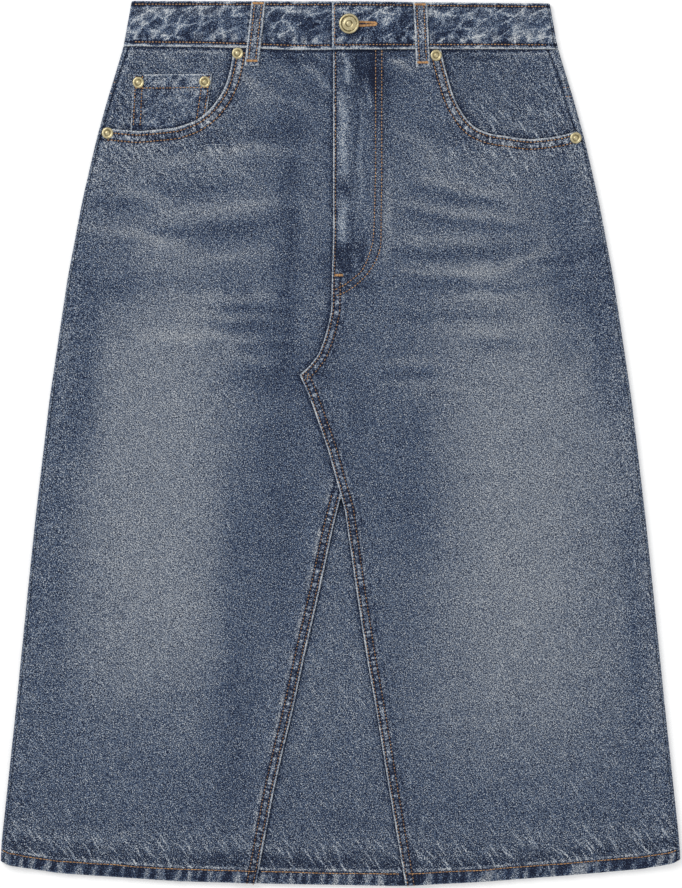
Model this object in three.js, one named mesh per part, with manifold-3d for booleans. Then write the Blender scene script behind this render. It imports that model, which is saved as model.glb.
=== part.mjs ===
// A denim skirt with five pockets, laid flat on a surface with its front up. Millimetres.
// +X is the viewer's right, +Y points to the waist, +Z comes up out of the cloth. The underside lies on z = 0.
// "Down" is the distance below the top of the waistband, measured along the cloth as it lies.
import * as THREE from "three";
import { mergeVertices } from "three/addons/utils/BufferGeometryUtils.js";
import Module from "manifold-3d";

const wasm = await Module();
wasm.setup();

// Driving dimensions

const LENGTH = 734; // waistband to the lowest point of the hem
const TOP_Y = LENGTH / 2;
const WALL = 1.2; // one layer of rigid denim
const GAP = 0.3; // clear space between pieces
const STEP = WALL + GAP; // what one layer lifts the next by
const BAND_WALL = 2.2; // the waistband is a doubled strip
const BAND_DEPTH = 39;
const SIDE_RADIUS = 2.6; // outside radius of the fold down each side
const SIDE_REACH = 46; // how far in from the side fold the front settles onto the back
const HEM_DEPTH = 10;
const HEM_EXTRA = 0.8; // thickness that the turned-up hem adds
const UNDERLAP = 9; // what lies hidden under a lapped seam
const WAIST_RISE = 1.3; // the front rises to the waistband's face
const GUSSET_TOP = 403;
const FACING_END = 140; // how far down the pocket facings' ground reaches
const ROW_STEP = 15;
const LONG_ROW_STEP = 27;

// Half the width of the laid skirt, by distance down
const halfWidths = [
  { down: 0, width: 173.2 },
  { down: 39, width: 180.2 },
  { down: 82, width: 193.4 },
  { down: 115, width: 202.5 },
  { down: 165, width: 214.1 },
  { down: 231, width: 226.6 },
  { down: 331, width: 241.5 },
  { down: 430, width: 253.2 },
  { down: 497, width: 260.2 },
  { down: 596, width: 270.2 },
  { down: 696, width: 281.0 },
  { down: 714, width: 282.0 },
];

// The hem's lower edge and the waistband's two edges, from left to right
const hemEdges = [
  { x: -282, down: 713 },
  { x: -276, down: 716.7 },
  { x: -233, down: 723.4 },
  { x: -133, down: 730.1 },
  { x: -50, down: 732.3 },
  { x: 49, down: 734 },
  { x: 116, down: 730.7 },
  { x: 182, down: 725.7 },
  { x: 249, down: 719.9 },
  { x: 282, down: 711.5 },
];
const topEdges = [
  { x: -175, down: 0 },
  { x: 0, down: 0.4 },
  { x: 175, down: 2.1 },
];
const waistSeams = [
  { x: -300, down: 37.2 },
  { x: 300, down: 40.2 },
];

// The folded edge of the right front panel: down the fly, out round the crotch and down the inset triangle
const centreEdges = [
  { down: 36, x: -6 },
  { down: 199, x: -6.2 },
  { down: 240, x: -7.4 },
  { down: 257, x: -7.7 },
  { down: 269, x: -10.2 },
  { down: 282, x: -14 },
  { down: 293, x: -18.3 },
  { down: 303.6, x: -26.5 },
  { down: 310, x: -34.2 },
  { down: 320, x: -29.2 },
  { down: 333, x: -24.2 },
  { down: 371, x: -10.8 },
  { down: 422, x: 3.8 },
  { down: 487, x: 13 },
  { down: 585, x: 30.5 },
  { down: 654, x: 42 },
  { down: 734, x: 54.3 },
];

// The folded edge of the left front panel beside the inset triangle
const gussetEdges = [
  { down: 396, x: 4.2 },
  { down: 413, x: -0.2 },
  { down: 435, x: -5.8 },
  { down: 487, x: -16.9 },
  { down: 586, x: -40 },
  { down: 734, x: -70.2 },
];

// The width of back cloth that turns over each side fold and shows beside the front
const turnsLeft = [
  { down: 0, width: 4.6 },
  { down: 39, width: 4.6 },
  { down: 70, width: 3.2 },
  { down: 120, width: 2.8 },
];
const turnsRight = [
  { down: 0, width: 9.3 },
  { down: 39, width: 9.3 },
  { down: 60, width: 6.6 },
  { down: 90, width: 7 },
  { down: 103, width: 6.2 },
  { down: 118, width: 2.8 },
];

// Pocket mouths, from the waistband to the side seam
const mouthLeft = [
  { x: -88, down: 34 },
  { x: -90.1, down: 51 },
  { x: -94, down: 67 },
  { x: -100.3, down: 80 },
  { x: -109, down: 91 },
  { x: -120.2, down: 99.6 },
  { x: -136, down: 105.2 },
  { x: -168, down: 108.3 },
  { x: -205, down: 105 },
];
const mouthRight = [
  { x: 82, down: 34 },
  { x: 85.5, down: 51 },
  { x: 92.2, down: 75 },
  { x: 97.4, down: 87.2 },
  { x: 104, down: 97.7 },
  { x: 111.7, down: 105.3 },
  { x: 123.2, down: 110.1 },
  { x: 156.5, down: 115 },
  { x: 180.4, down: 112.5 },
  { x: 208, down: 105 },
];
const coinOutline = [
  { x: -171.6, down: 61.2 },
  { x: -106.7, down: 60.4 },
  { x: -107.9, down: 73 },
  { x: -111.5, down: 97 },
  { x: -136, down: 110.5 },
  { x: -174.2, down: 112.5 },
];
const COIN_BOX = { left: -174.2, right: -106.7, low: 112.5 };

// Soft folds of the front: ridges across the hips and long waves down the skirt
const folds = [
  { x0: -160, down0: 150, x1: -60, down1: 134, spread: 17, height: 1.1 },
  { x0: -178, down0: 190, x1: -62, down1: 168, spread: 17, height: 1.2 },
  { x0: -150, down0: 240, x1: -70, down1: 250, spread: 19, height: 1.0 },
  { x0: -165, down0: 292, x1: -70, down1: 296, spread: 20, height: 1.1 },
  { x0: 62, down0: 150, x1: 150, down1: 166, spread: 17, height: 1.1 },
  { x0: 52, down0: 200, x1: 165, down1: 204, spread: 17, height: 1.3 },
  { x0: 60, down0: 252, x1: 165, down1: 240, spread: 19, height: 1.1 },
  { x0: 55, down0: 312, x1: 130, down1: 318, spread: 19, height: 0.9 },
  { x0: -190, down0: 400, x1: -215, down1: 690, spread: 34, height: 1.3 },
  { x0: -130, down0: 470, x1: -150, down1: 690, spread: 30, height: 0.9 },
  { x0: 130, down0: 420, x1: 150, down1: 690, spread: 32, height: 1.0 },
  { x0: 195, down0: 380, x1: 222, down1: 680, spread: 32, height: 1.3 },
];

const CENTRE_LAP = 37; // how far right of the middle the waistband's under end reaches
const BAND_EDGE = -7; // where the waistband's upper end stops
const LOOP_WIDTH = 11.6;
const LOOP_WALL = 1.4;
const LOOP_BOW = 0.9; // how far a belt loop stands off in its middle
const loops = [
  { name: "belt_loop_left", topX: -67.9, lowX: -73.8, top: 1, low: 53.5 },
  { name: "belt_loop_right", topX: 66, lowX: 68.5, top: 2.2, low: 55 },
];
const BUTTON = { x: 7.05, down: 19.3, radius: 8.4, shank: 1.7, thick: 2.5 };
const BUTTONHOLE = { length: 22, slot: 0.7, eye: 2.3 };
const RIVET_RADIUS = 4.75;
const rivets = [
  { name: "rivet_coin_left", x: -167.6, down: 67.8 },
  { name: "rivet_coin_right", x: -112.5, down: 67.2 },
  { name: "rivet_left_waist", x: -85.3, down: 43.6 },
  { name: "rivet_left_side", x: -193, down: 109.8 },
  { name: "rivet_right_waist", x: 79.3, down: 45.2 },
  { name: "rivet_right_side", x: 194.9, down: 113.8 },
];

const denim = { color: 0x3f5573, roughness: 0.9, metalness: 0 };
const brass = { color: 0xb9a06a, roughness: 0.35, metalness: 1 };

// Small helpers

const mix = (a, b, t) => a + (b - a) * t;

// 1 up to the first value, 0 from the second on, and a soft S between them
function fade(value, full, none) {
  const t = THREE.MathUtils.clamp((value - full) / (none - full), 0, 1);
  return 1 - t * t * (3 - 2 * t);
}

// A value read from a table by straight lines between its rows, level past its ends
function read(table, key, at, column) {
  if (at <= table[0][key]) return table[0][column];
  for (let i = 1; i < table.length; i += 1) {
    const [a, b] = [table[i - 1], table[i]];
    if (at <= b[key]) return mix(a[column], b[column], (at - a[key]) / (b[key] - a[key]));
  }
  return table[table.length - 1][column];
}

const halfWidth = (down) => read(halfWidths, "down", down, "width");
const hemEdge = (x) => read(hemEdges, "x", x, "down");
const topEdge = (x) => read(topEdges, "x", x, "down");
const waistSeam = (x) => read(waistSeams, "x", x, "down");
const centreEdge = (down) => read(centreEdges, "down", down, "x");
const gussetEdge = (down) => read(gussetEdges, "down", down, "x");
const turnWidth = (side, down) => read(side < 0 ? turnsLeft : turnsRight, "down", down, "width");
const sideSeam = (side, down) => side * (halfWidth(down) - turnWidth(side, down));
const yokeSeam = (x) => mix(104, 66, Math.min(1, Math.abs(x) / 185));

// The left panel's right edge: hidden under the right panel, then free beside the inset triangle
function leftPanelEdge(down) {
  const hidden = centreEdge(down) + UNDERLAP;
  return mix(gussetEdge(down), hidden, THREE.MathUtils.clamp((413 - down) / 10, 0, 1));
}

// The least distance from a point to a row of joined straight lines
function distanceTo(path, x, down) {
  let least = Infinity;
  for (let i = 1; i < path.length; i += 1) {
    const [a, b] = [path[i - 1], path[i]];
    const [dx, dd] = [b.x - a.x, b.down - a.down];
    const t = THREE.MathUtils.clamp(((x - a.x) * dx + (down - a.down) * dd) / (dx * dx + dd * dd), 0, 1);
    least = Math.min(least, Math.hypot(x - a.x - t * dx, down - a.down - t * dd));
  }
  return least;
}

// Evenly filled stops, none further apart than the step
function fillBetween(stops, step) {
  const filled = [stops[0]];
  for (let i = 1; i < stops.length; i += 1) {
    const count = Math.ceil((stops[i] - stops[i - 1]) / step - 1e-9);
    for (let k = 1; k <= count; k += 1) filled.push(mix(stops[i - 1], stops[i], k / count));
  }
  return filled;
}

// Heights of the layers, each given for the underside of its piece

// How much the ridge and wave table lifts a point: a cosine bump across, fading towards both ends
function foldLift(x, down) {
  let lift = 0;
  for (const f of folds) {
    const [dx, dd] = [f.x1 - f.x0, f.down1 - f.down0];
    const t = ((x - f.x0) * dx + (down - f.down0) * dd) / (dx * dx + dd * dd);
    const along = THREE.MathUtils.clamp(t, 0, 1);
    const off = Math.hypot(x - f.x0 - along * dx, down - f.down0 - along * dd);
    lift = Math.max(lift, f.height * Math.sin(Math.PI * mix(0.15, 0.85, along)) * fade(off, 0, f.spread));
  }
  return lift;
}

// Ground of the front layer: on the back, rising to the side folds, the waistband and the doubled hem
function frontGround(x, down) {
  const side = (2 * SIDE_RADIUS - WALL - STEP) * fade(halfWidth(down) - Math.abs(x), 4, SIDE_REACH);
  const waist = WAIST_RISE * fade(down - waistSeam(x), 0, 20);
  const hem = HEM_EXTRA * fade(hemEdge(x) - down, HEM_DEPTH, HEM_DEPTH + 3);
  return STEP + Math.max(side, waist, hem) + foldLift(x, down);
}

// 1 over a lower piece whose edge is a distance away (positive outside), and a soft fall beyond it
const cover = (outside) => fade(outside, 3, 18);

// What the inset triangle lifts a panel by, from how far outside its edge the point lies
function liftOverGusset(outside, x, down) {
  const hem = HEM_EXTRA * fade(hemEdge(x) - down, HEM_DEPTH, HEM_DEPTH + 3);
  return (STEP + hem) * cover(outside) * cover(GUSSET_TOP - down);
}

function leftPanelGround(x, down) {
  const overCoin = Math.hypot(Math.max(COIN_BOX.left - x, x - COIN_BOX.right, 0), Math.max(down - COIN_BOX.low, 0));
  const pocketLayers = fade(distanceTo(mouthLeft, x, down), 16, 34) + fade(overCoin, 8, 26) * fade(down, 140, 160);
  const outsideGusset = gussetEdge(down) - UNDERLAP - x;
  return frontGround(x, down) + STEP * pocketLayers + liftOverGusset(outsideGusset, x, down);
}

function rightPanelGround(x, down) {
  const layers = fade(distanceTo(mouthRight, x, down), 16, 34) + cover(x - leftPanelEdge(down));
  const outsideGusset = x - centreEdge(down) - UNDERLAP;
  return frontGround(x, down) + STEP * layers + liftOverGusset(outsideGusset, x, down);
}

const hemThickness = (x, down) => WALL + HEM_EXTRA * fade(hemEdge(x) - down, HEM_DEPTH, HEM_DEPTH + 2);

// Meshes and solids

const toPoint = (x, down, z) => new THREE.Vector3(x, TOP_Y - down, z);

// One closed wall between two grids of points of the same shape, joined round the rim, facing out
function closedWall(outer, inner) {
  const rows = outer.length;
  const columns = outer[0].length;
  const positions = [...outer.flat(), ...inner.flat()].flatMap((p) => [p.x, p.y, p.z]);
  const at = (layer, i, j) => layer * rows * columns + i * columns + j;
  const index = [];
  const quad = (a, b, c, d) => index.push(a, b, c, a, c, d);
  for (let i = 0; i + 1 < rows; i += 1) {
    for (let j = 0; j + 1 < columns; j += 1) {
      quad(at(0, i, j), at(0, i + 1, j), at(0, i + 1, j + 1), at(0, i, j + 1));
      quad(at(1, i, j + 1), at(1, i + 1, j + 1), at(1, i + 1, j), at(1, i, j));
    }
    quad(at(1, i, 0), at(1, i + 1, 0), at(0, i + 1, 0), at(0, i, 0));
    quad(at(0, i, columns - 1), at(0, i + 1, columns - 1), at(1, i + 1, columns - 1), at(1, i, columns - 1));
  }
  for (let j = 0; j + 1 < columns; j += 1) {
    quad(at(0, 0, j), at(0, 0, j + 1), at(1, 0, j + 1), at(1, 0, j));
    quad(at(1, rows - 1, j), at(1, rows - 1, j + 1), at(0, rows - 1, j + 1), at(0, rows - 1, j));
  }
  const geometry = new THREE.BufferGeometry();
  geometry.setAttribute("position", new THREE.Float32BufferAttribute(positions, 3));
  geometry.setIndex(enclosedVolume(positions, index) < 0 ? index.reverse() : index);
  return geometry;
}

// Six times the volume inside a closed surface, negative where its faces point inwards
function enclosedVolume(positions, index) {
  const corner = (k) => new THREE.Vector3().fromArray(positions, 3 * index[k]);
  let sum = 0;
  for (let k = 0; k < index.length; k += 3) sum += corner(k).dot(corner(k + 1).cross(corner(k + 2)));
  return sum;
}

function toSolid(geometry) {
  const bare = geometry.clone();
  bare.deleteAttribute("normal");
  bare.deleteAttribute("uv");
  const merged = mergeVertices(bare, 1e-4);
  return new wasm.Manifold(
    new wasm.Mesh({
      numProp: 3,
      vertProperties: merged.attributes.position.array,
      triVerts: new Uint32Array(merged.index.array),
    }),
  );
}

function toGeometry(solid) {
  const mesh = solid.getMesh();
  const geometry = new THREE.BufferGeometry();
  geometry.setAttribute("position", new THREE.Float32BufferAttribute(mesh.vertProperties, 3));
  geometry.setIndex(Array.from(mesh.triVerts));
  return geometry;
}

// An upright prism over an outline, for cutting one piece out of a larger sheet
function prism(outline, low, high) {
  const shape = new THREE.Shape(outline.map((p) => new THREE.Vector2(p.x, TOP_Y - p.down)));
  const geometry = new THREE.ExtrudeGeometry(shape, { depth: high - low, bevelEnabled: false, curveSegments: 10 });
  return toSolid(geometry.translate(0, 0, low));
}

// The columns across a panel: fixed distances in from its two edges and an even spread between them
function columnsAcross(fromLeft, fromRight, between) {
  const [first, last] = [fromLeft[fromLeft.length - 1], fromRight[fromRight.length - 1]];
  const middle = Array.from({ length: between - 1 }, (_, k) => {
    const share = (k + 1) / between;
    return { share, offset: mix(first, -last, share) };
  });
  return [
    ...fromLeft.map((offset) => ({ share: 0, offset })),
    ...middle,
    ...fromRight.toReversed().map((offset) => ({ share: 1, offset: -offset })),
  ];
}

// The place of a grid point: its row is a share of the way from seam to hem, its column lies between two edges
function placeInPanel(panel, rowDown, column) {
  const share = (rowDown - BAND_DEPTH) / (LENGTH - BAND_DEPTH);
  let [x, down] = [0, rowDown];
  for (let turn = 0; turn < 4; turn += 1) {
    const [left, right] = [panel.left(down), panel.right(down)];
    x = mix(left, right, column.share) + column.offset;
    down = mix(waistSeam(x) + GAP, hemEdge(x), share);
  }
  return { x, down };
}

// A flat-lying sheet: the panel's grid at its ground height and the same grid one wall higher
function layPanel(panel, rows, columns, ground) {
  const grid = rows.map((rowDown) => columns.map((column) => placeInPanel(panel, rowDown, column)));
  const outer = grid.map((row) =>
    row.map((p) => toPoint(p.x, p.down, ground(p.x, p.down) + hemThickness(p.x, p.down))),
  );
  const inner = grid.map((row) => row.map((p) => toPoint(p.x, p.down, ground(p.x, p.down))));
  return closedWall(outer, inner);
}

// A path moved sideways by a distance, to the left of its own direction
function offsetPath(path, distance) {
  return path.map((p, i) => {
    const a = path[Math.max(0, i - 1)];
    const b = path[Math.min(path.length - 1, i + 1)];
    const length = Math.hypot(b.x - a.x, b.down - a.down);
    const [dx, dd] = [(b.x - a.x) / length, (b.down - a.down) / length];
    return { x: p.x + dd * distance, down: p.down - dx * distance };
  });
}

// Pieces

const hemRows = [LENGTH - HEM_DEPTH - 2, LENGTH - HEM_DEPTH, LENGTH];
const upperRows = [
  ...fillBetween([BAND_DEPTH, 61], 5.5),
  ...fillBetween([61, 293], ROW_STEP).slice(1),
  303.6,
  310,
  320,
];
const apexRows = [333, 352, 371, 385, 394, GUSSET_TOP, 413, 422, 435];
const panelRows = [...upperRows, ...apexRows, ...fillBetween([435, hemRows[0]], LONG_ROW_STEP).slice(1), ...hemRows.slice(1)];
const gussetRows = panelRows.filter((down) => down >= GUSSET_TOP);
const facingRows = panelRows.filter((down) => down <= FACING_END);

const leftPanel = {
  left: (down) => sideSeam(-1, down) + GAP,
  right: leftPanelEdge,
  columns: columnsAcross([0, 8, 20, 34], [0, 6, 13, 26], 9),
};
const rightPanel = {
  left: centreEdge,
  right: (down) => sideSeam(1, down) - GAP,
  columns: columnsAcross([0, 6, 13, 26], [0, 8, 20, 34], 9),
};
const gusset = {
  left: (down) => gussetEdge(down) - UNDERLAP,
  right: (down) => centreEdge(down) + UNDERLAP,
  columns: [0, 0.2, 0.4, 0.6, 0.8, 1].map((share) => ({ share, offset: 0 })),
};

// Everything above a pocket mouth, out past the side
function aboveMouth(mouth, side) {
  const past = side * 260;
  return [...mouth, { x: past, down: mouth[mouth.length - 1].down }, { x: past, down: 20 }, { x: mouth[0].x, down: 20 }];
}

function makeFrontPanel(panel, ground, mouth, side) {
  const whole = toSolid(layPanel(panel, panelRows, panel.columns, ground));
  return toGeometry(whole.subtract(prism(aboveMouth(mouth, side), -5, 20)));
}

// The denim that shows inside a pocket mouth, and runs on under the mouth's edge
function makeFacing(panel, mouth, side) {
  const ground = toSolid(layPanel(panel, facingRows, panel.columns, frontGround));
  const under = offsetPath(mouth, -side * UNDERLAP);
  return toGeometry(ground.intersect(prism(aboveMouth(under, side), -5, 20)));
}

function makeCoinPocket() {
  const onFacing = (x, down) => frontGround(x, down) + STEP;
  const ground = toSolid(layPanel(leftPanel, facingRows, leftPanel.columns, onFacing));
  return toGeometry(ground.intersect(prism(coinOutline, -5, 20)));
}

// One column of a wall that runs flat under the skirt, round the side fold and onto the front
function wrapPoint(side, down, place, wall) {
  const fold = halfWidth(down) - SIDE_RADIUS;
  if (place.flat !== undefined) return { x: side * mix(GAP / 2, fold, place.flat), z: wall };
  if (place.angle !== undefined) {
    const radius = SIDE_RADIUS - wall;
    const x = fold + radius * Math.sin(place.angle);
    return { x: side * x, z: SIDE_RADIUS - radius * Math.cos(place.angle) };
  }
  const seam = halfWidth(down) - turnWidth(side, down) + GAP / 2;
  const x = side * mix(fold, seam, place.turn);
  return { x, z: 2 * SIDE_RADIUS - wall };
}

const ARC_STEPS = 6;
const backColumns = [
  ...[0, 0.2, 0.4, 0.6, 0.8, 1].map((flat) => ({ flat })),
  ...Array.from({ length: ARC_STEPS }, (_, k) => ({ angle: (Math.PI * (k + 1)) / ARC_STEPS })),
  { turn: 1 },
];

// The rows of a back piece, as shares of its length, level with the front panel's rows at the side seam
function rowsAtSideSeam(side, upper, lower) {
  const [panel, column] = side < 0 ? [leftPanel, leftPanel.columns[0]] : [rightPanel, rightPanel.columns.at(-1)];
  const shares = panelRows.map((rowDown) => {
    const { x, down } = placeInPanel(panel, rowDown, column);
    return (down - upper(x)) / (lower(x) - upper(x));
  });
  return [0, ...shares.filter((share) => share > 0.004 && share < 0.996), 1];
}

// A back piece between two seams, flat below and turned over the side fold
function makeBackPiece(side, upper, lower) {
  const rows = rowsAtSideSeam(side, upper, lower);
  const inRow = (share, wall) =>
    backColumns.map((place) => {
      let [x, down] = [side * 150, mix(upper(0), lower(0), share)];
      let spot = wrapPoint(side, down, place, wall);
      for (let turn = 0; turn < 4; turn += 1) {
        x = wall ? wrapPoint(side, down, place, 0).x : spot.x;
        down = mix(upper(x), lower(x), share);
        spot = wrapPoint(side, down, place, wall);
      }
      const doubled = place.flat < 1 && wall > 0;
      const hem = HEM_EXTRA * fade(hemEdge(x) - down, HEM_DEPTH, HEM_DEPTH + 2);
      return toPoint(spot.x, down, spot.z + (doubled ? hem : 0));
    });
  return closedWall(rows.map((share) => inRow(share, 0)), rows.map((share) => inRow(share, WALL)));
}

// The waistband: one strip from its hidden end, round both sides, to the end that laps on top
function makeWaistband() {
  const fold = (down) => halfWidth(down) - SIDE_RADIUS;
  const lapLift = (x) => (BAND_WALL + GAP) * fade(x, CENTRE_LAP + 4, CENTRE_LAP + 26);
  const strip = [
    ...[0, 0.25, 0.5, 0.75, 1].map((share) => ({ from: CENTRE_LAP, to: -1, share, level: "under" })),
    ...Array.from({ length: ARC_STEPS - 1 }, (_, k) => ({ side: -1, angle: Math.PI * (1 - (k + 1) / ARC_STEPS) })),
    ...[0, 0.25, 0.5, 0.75, 1].map((share) => ({ back: mix(-1, 1, share) })),
    ...Array.from({ length: ARC_STEPS - 1 }, (_, k) => ({ side: 1, angle: (Math.PI * (k + 1)) / ARC_STEPS })),
    { front: 1 },
    { front: 0.6 },
    ...[80, 63, 57, 52, 47, 41, 20, BAND_EDGE].map((x) => ({ x })),
  ];
  const top = 2 * SIDE_RADIUS;
  const spot = (place, down, inset) => {
    if (place.level) return { x: mix(place.from, -fold(down), place.share), z: top - inset };
    if (place.back !== undefined) return { x: place.back * fold(down), z: inset };
    if (place.front !== undefined) return { x: place.front * fold(down), z: top - inset };
    if (place.x !== undefined) return { x: place.x, z: top - inset + lapLift(place.x) };
    const radius = SIDE_RADIUS - inset;
    const x = fold(down) + radius * Math.sin(place.angle);
    return { x: place.side * x, z: SIDE_RADIUS - radius * Math.cos(place.angle) };
  };
  const grid = (inset) =>
    [0, 0.5, 1].map((share) =>
      strip.map((place) => {
        const at = spot(place, share * BAND_DEPTH, inset);
        return toPoint(at.x, mix(topEdge(at.x), waistSeam(at.x), share), at.z);
      }),
    );
  return toSolid(closedWall(grid(0), grid(BAND_WALL)));
}

// A keyhole buttonhole: a round eye for the shank and a slot running from it
function makeButtonhole() {
  const { length, slot, eye } = BUTTONHOLE;
  const opening = Math.asin(slot / eye);
  const shape = new THREE.Shape();
  shape.moveTo(length, slot);
  shape.lineTo(eye * Math.cos(opening), slot);
  shape.absarc(0, 0, eye, opening, 2 * Math.PI - opening, false);
  shape.lineTo(length, -slot);
  shape.closePath();
  const geometry = new THREE.ExtrudeGeometry(shape, { depth: 6, bevelEnabled: false, curveSegments: 14 });
  return toSolid(geometry.translate(BUTTON.x, TOP_Y - BUTTON.down, 2 * SIDE_RADIUS + GAP / 2));
}

// The highest cloth under a small round or square patch
function clothTop(x, down, reach) {
  let high = 0;
  for (const [dx, dd] of [[0, 0], [1, 0], [-1, 0], [0, 1], [0, -1], [0.7, 0.7], [-0.7, 0.7], [0.7, -0.7], [-0.7, -0.7]]) {
    const [px, pd] = [x + dx * reach, down + dd * reach];
    const inBand = pd < waistSeam(px);
    const panel = px < 0 ? leftPanelGround : rightPanelGround;
    high = Math.max(high, inBand ? 2 * SIDE_RADIUS : panel(px, pd) + WALL);
  }
  return high;
}

// A belt loop: a strip over the waistband and onto the panel, bowed up in its middle
function makeBeltLoop(loop) {
  const rows = fillBetween([0, 1], 1 / 12);
  const across = [-0.5, 0.5];
  const grid = (raise) =>
    rows.map((share) => {
      const [x, down] = [mix(loop.topX, loop.lowX, share), mix(loop.top, loop.low, share)];
      const bow = LOOP_BOW * Math.sin(Math.PI * Math.min(1, share * 1.25));
      const base = clothTop(x, down, LOOP_WIDTH * 0.6) + 1.4 * GAP + bow;
      return across.map((a) => toPoint(x + a * LOOP_WIDTH, down, base + raise));
    });
  return closedWall(grid(LOOP_WALL), grid(0));
}

const lathe = (profile, segments) => {
  const points = profile.map(([radius, height]) => new THREE.Vector2(radius, height));
  return new THREE.LatheGeometry(points, segments).rotateX(Math.PI / 2);
};

// A shank button: a stem through the buttonhole and a dished disc with a raised rim
function makeButton() {
  const stem = 2 * SIDE_RADIUS + GAP;
  const disc = stem + BAND_WALL + 2 * GAP;
  const { radius, shank, thick } = BUTTON;
  const profile = [
    [0, stem],
    [shank, stem],
    [shank, disc],
    [radius - 1, disc],
    [radius, disc + 0.7],
    [radius, disc + thick - 0.6],
    [radius - 0.8, disc + thick],
    [radius - 1.7, disc + thick - 0.1],
    [radius - 2.3, disc + thick - 0.6],
    [0, disc + thick - 0.4],
  ];
  return lathe(profile, 32).translate(BUTTON.x, TOP_Y - BUTTON.down, 0);
}

// A rivet cap: a low ring with a dished face and a nipple in its middle
function makeRivet(rivet) {
  const z = rivet.coin ?? clothTop(rivet.x, rivet.down, RIVET_RADIUS) + GAP;
  const profile = [
    [0, 0],
    [RIVET_RADIUS - 0.3, 0],
    [RIVET_RADIUS, 0.4],
    [RIVET_RADIUS - 0.5, 1.1],
    [RIVET_RADIUS - 1.3, 1.2],
    [1.7, 0.8],
    [1.3, 1.2],
    [0, 1.4],
  ];
  return lathe(profile, 20).translate(rivet.x, TOP_Y - rivet.down, z);
}

// The whole skirt

const skirt = new THREE.Group();

function add(name, geometry, look) {
  const mesh = new THREE.Mesh(geometry, new THREE.MeshStandardMaterial(look));
  mesh.name = name;
  mesh.geometry.computeVertexNormals();
  skirt.add(mesh);
}

const underWaist = (x) => waistSeam(x) + GAP;
const underYoke = (x) => yokeSeam(x) + GAP;
for (const [name, side] of [["left", -1], ["right", 1]]) {
  add(`back_yoke_${name}`, makeBackPiece(side, underWaist, yokeSeam), denim);
  add(`back_${name}`, makeBackPiece(side, underYoke, hemEdge), denim);
}
add("front_gusset", layPanel(gusset, gussetRows, gusset.columns, frontGround), denim);
add("pocket_facing_left", makeFacing(leftPanel, mouthLeft, -1), denim);
add("pocket_facing_right", makeFacing(rightPanel, mouthRight, 1), denim);
add("coin_pocket", makeCoinPocket(), denim);
add("front_left", makeFrontPanel(leftPanel, leftPanelGround, mouthLeft, -1), denim);
add("front_right", makeFrontPanel(rightPanel, rightPanelGround, mouthRight, 1), denim);
add("waistband", toGeometry(makeWaistband().subtract(makeButtonhole())), denim);
for (const loop of loops) add(loop.name, makeBeltLoop(loop), denim);
add("button", makeButton(), brass);
for (const rivet of rivets) {
  const onCoin = rivet.name.includes("coin") && frontGround(rivet.x, rivet.down) + 2 * STEP + GAP;
  add(rivet.name, makeRivet({ ...rivet, coin: onCoin || undefined }), brass);
}

export default skirt;
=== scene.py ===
"""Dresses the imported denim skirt: washed cloth, worn seams, stitching, button and rivets.

Everything is worked out in millimetres in the skirt's own frame (x to the viewer's right, "down" from the top of the
waistband along the cloth, z out of it) and scaled to metres where a mesh is made.
"""
import logging
from dataclasses import dataclass, field
from enum import Enum, IntEnum
from typing import Callable

import bpy
import numpy as np
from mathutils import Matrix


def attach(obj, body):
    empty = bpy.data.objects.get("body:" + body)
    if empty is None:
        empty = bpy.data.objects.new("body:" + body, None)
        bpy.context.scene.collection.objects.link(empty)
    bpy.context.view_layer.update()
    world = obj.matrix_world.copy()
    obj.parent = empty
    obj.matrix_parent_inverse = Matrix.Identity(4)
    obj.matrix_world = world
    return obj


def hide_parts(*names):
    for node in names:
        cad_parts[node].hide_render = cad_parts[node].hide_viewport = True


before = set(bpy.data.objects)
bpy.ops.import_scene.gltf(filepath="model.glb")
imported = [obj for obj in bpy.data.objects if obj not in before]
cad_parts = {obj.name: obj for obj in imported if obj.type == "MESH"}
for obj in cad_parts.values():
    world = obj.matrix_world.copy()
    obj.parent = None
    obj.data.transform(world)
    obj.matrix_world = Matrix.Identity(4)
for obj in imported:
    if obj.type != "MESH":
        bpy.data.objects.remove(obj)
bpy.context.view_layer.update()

LOG = logging.getLogger("skirt")
MM = 0.001
LENGTH = 734.0
TOP_Y = LENGTH / 2
WALL = 1.2
GAP = 0.3
STEP = WALL + GAP
THINNEST = 0.25
SEAM_GAP = 0.15
BAND_WALL = 2.2
BAND_DEPTH = 39.0
SIDE_RADIUS = 2.6
SIDE_REACH = 46.0
BAND_TOP = 2 * SIDE_RADIUS
HEM_DEPTH = 10.0
HEM_EXTRA = 0.8
PAST_HEM = 736.0
UNDERLAP = 9.0
CROTCH_DOWN = 310.0
GUSSET_TOP = 403.0
LEFT_FOLD_FROM = 396.0
LEFT_ROWS_FROM = 398.0
LEFT_EDGE_FREE = 413.0
TWIN_ROWS_FROM = 226.0
POCKET_BELOW = 118.0
POCKET_BESIDE = 80.0
FACING_END = 124.0
COIN_END = 110.0
WAIST_RISE = 1.3
STITCH_PITCH = 2.8
FLY_FIRST = 4.1
NEAR_ROW = 1.9
FAR_ROW = 7.1
NO_ROW = 99.0
PHOTO_SCALE = 0.83
PHOTO_MIDDLE_U = 340.5
PHOTO_TOP_V = 1.5

Array = np.ndarray
HeightAt = Callable[[Array, Array], Array]
Points = tuple[tuple[float, float], ...]
Triple = tuple[float, float, float]
Stops = tuple[tuple[float, Triple], ...]
Socket = bpy.types.NodeSocket
Material = bpy.types.Material
Piece = bpy.types.Object


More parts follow.
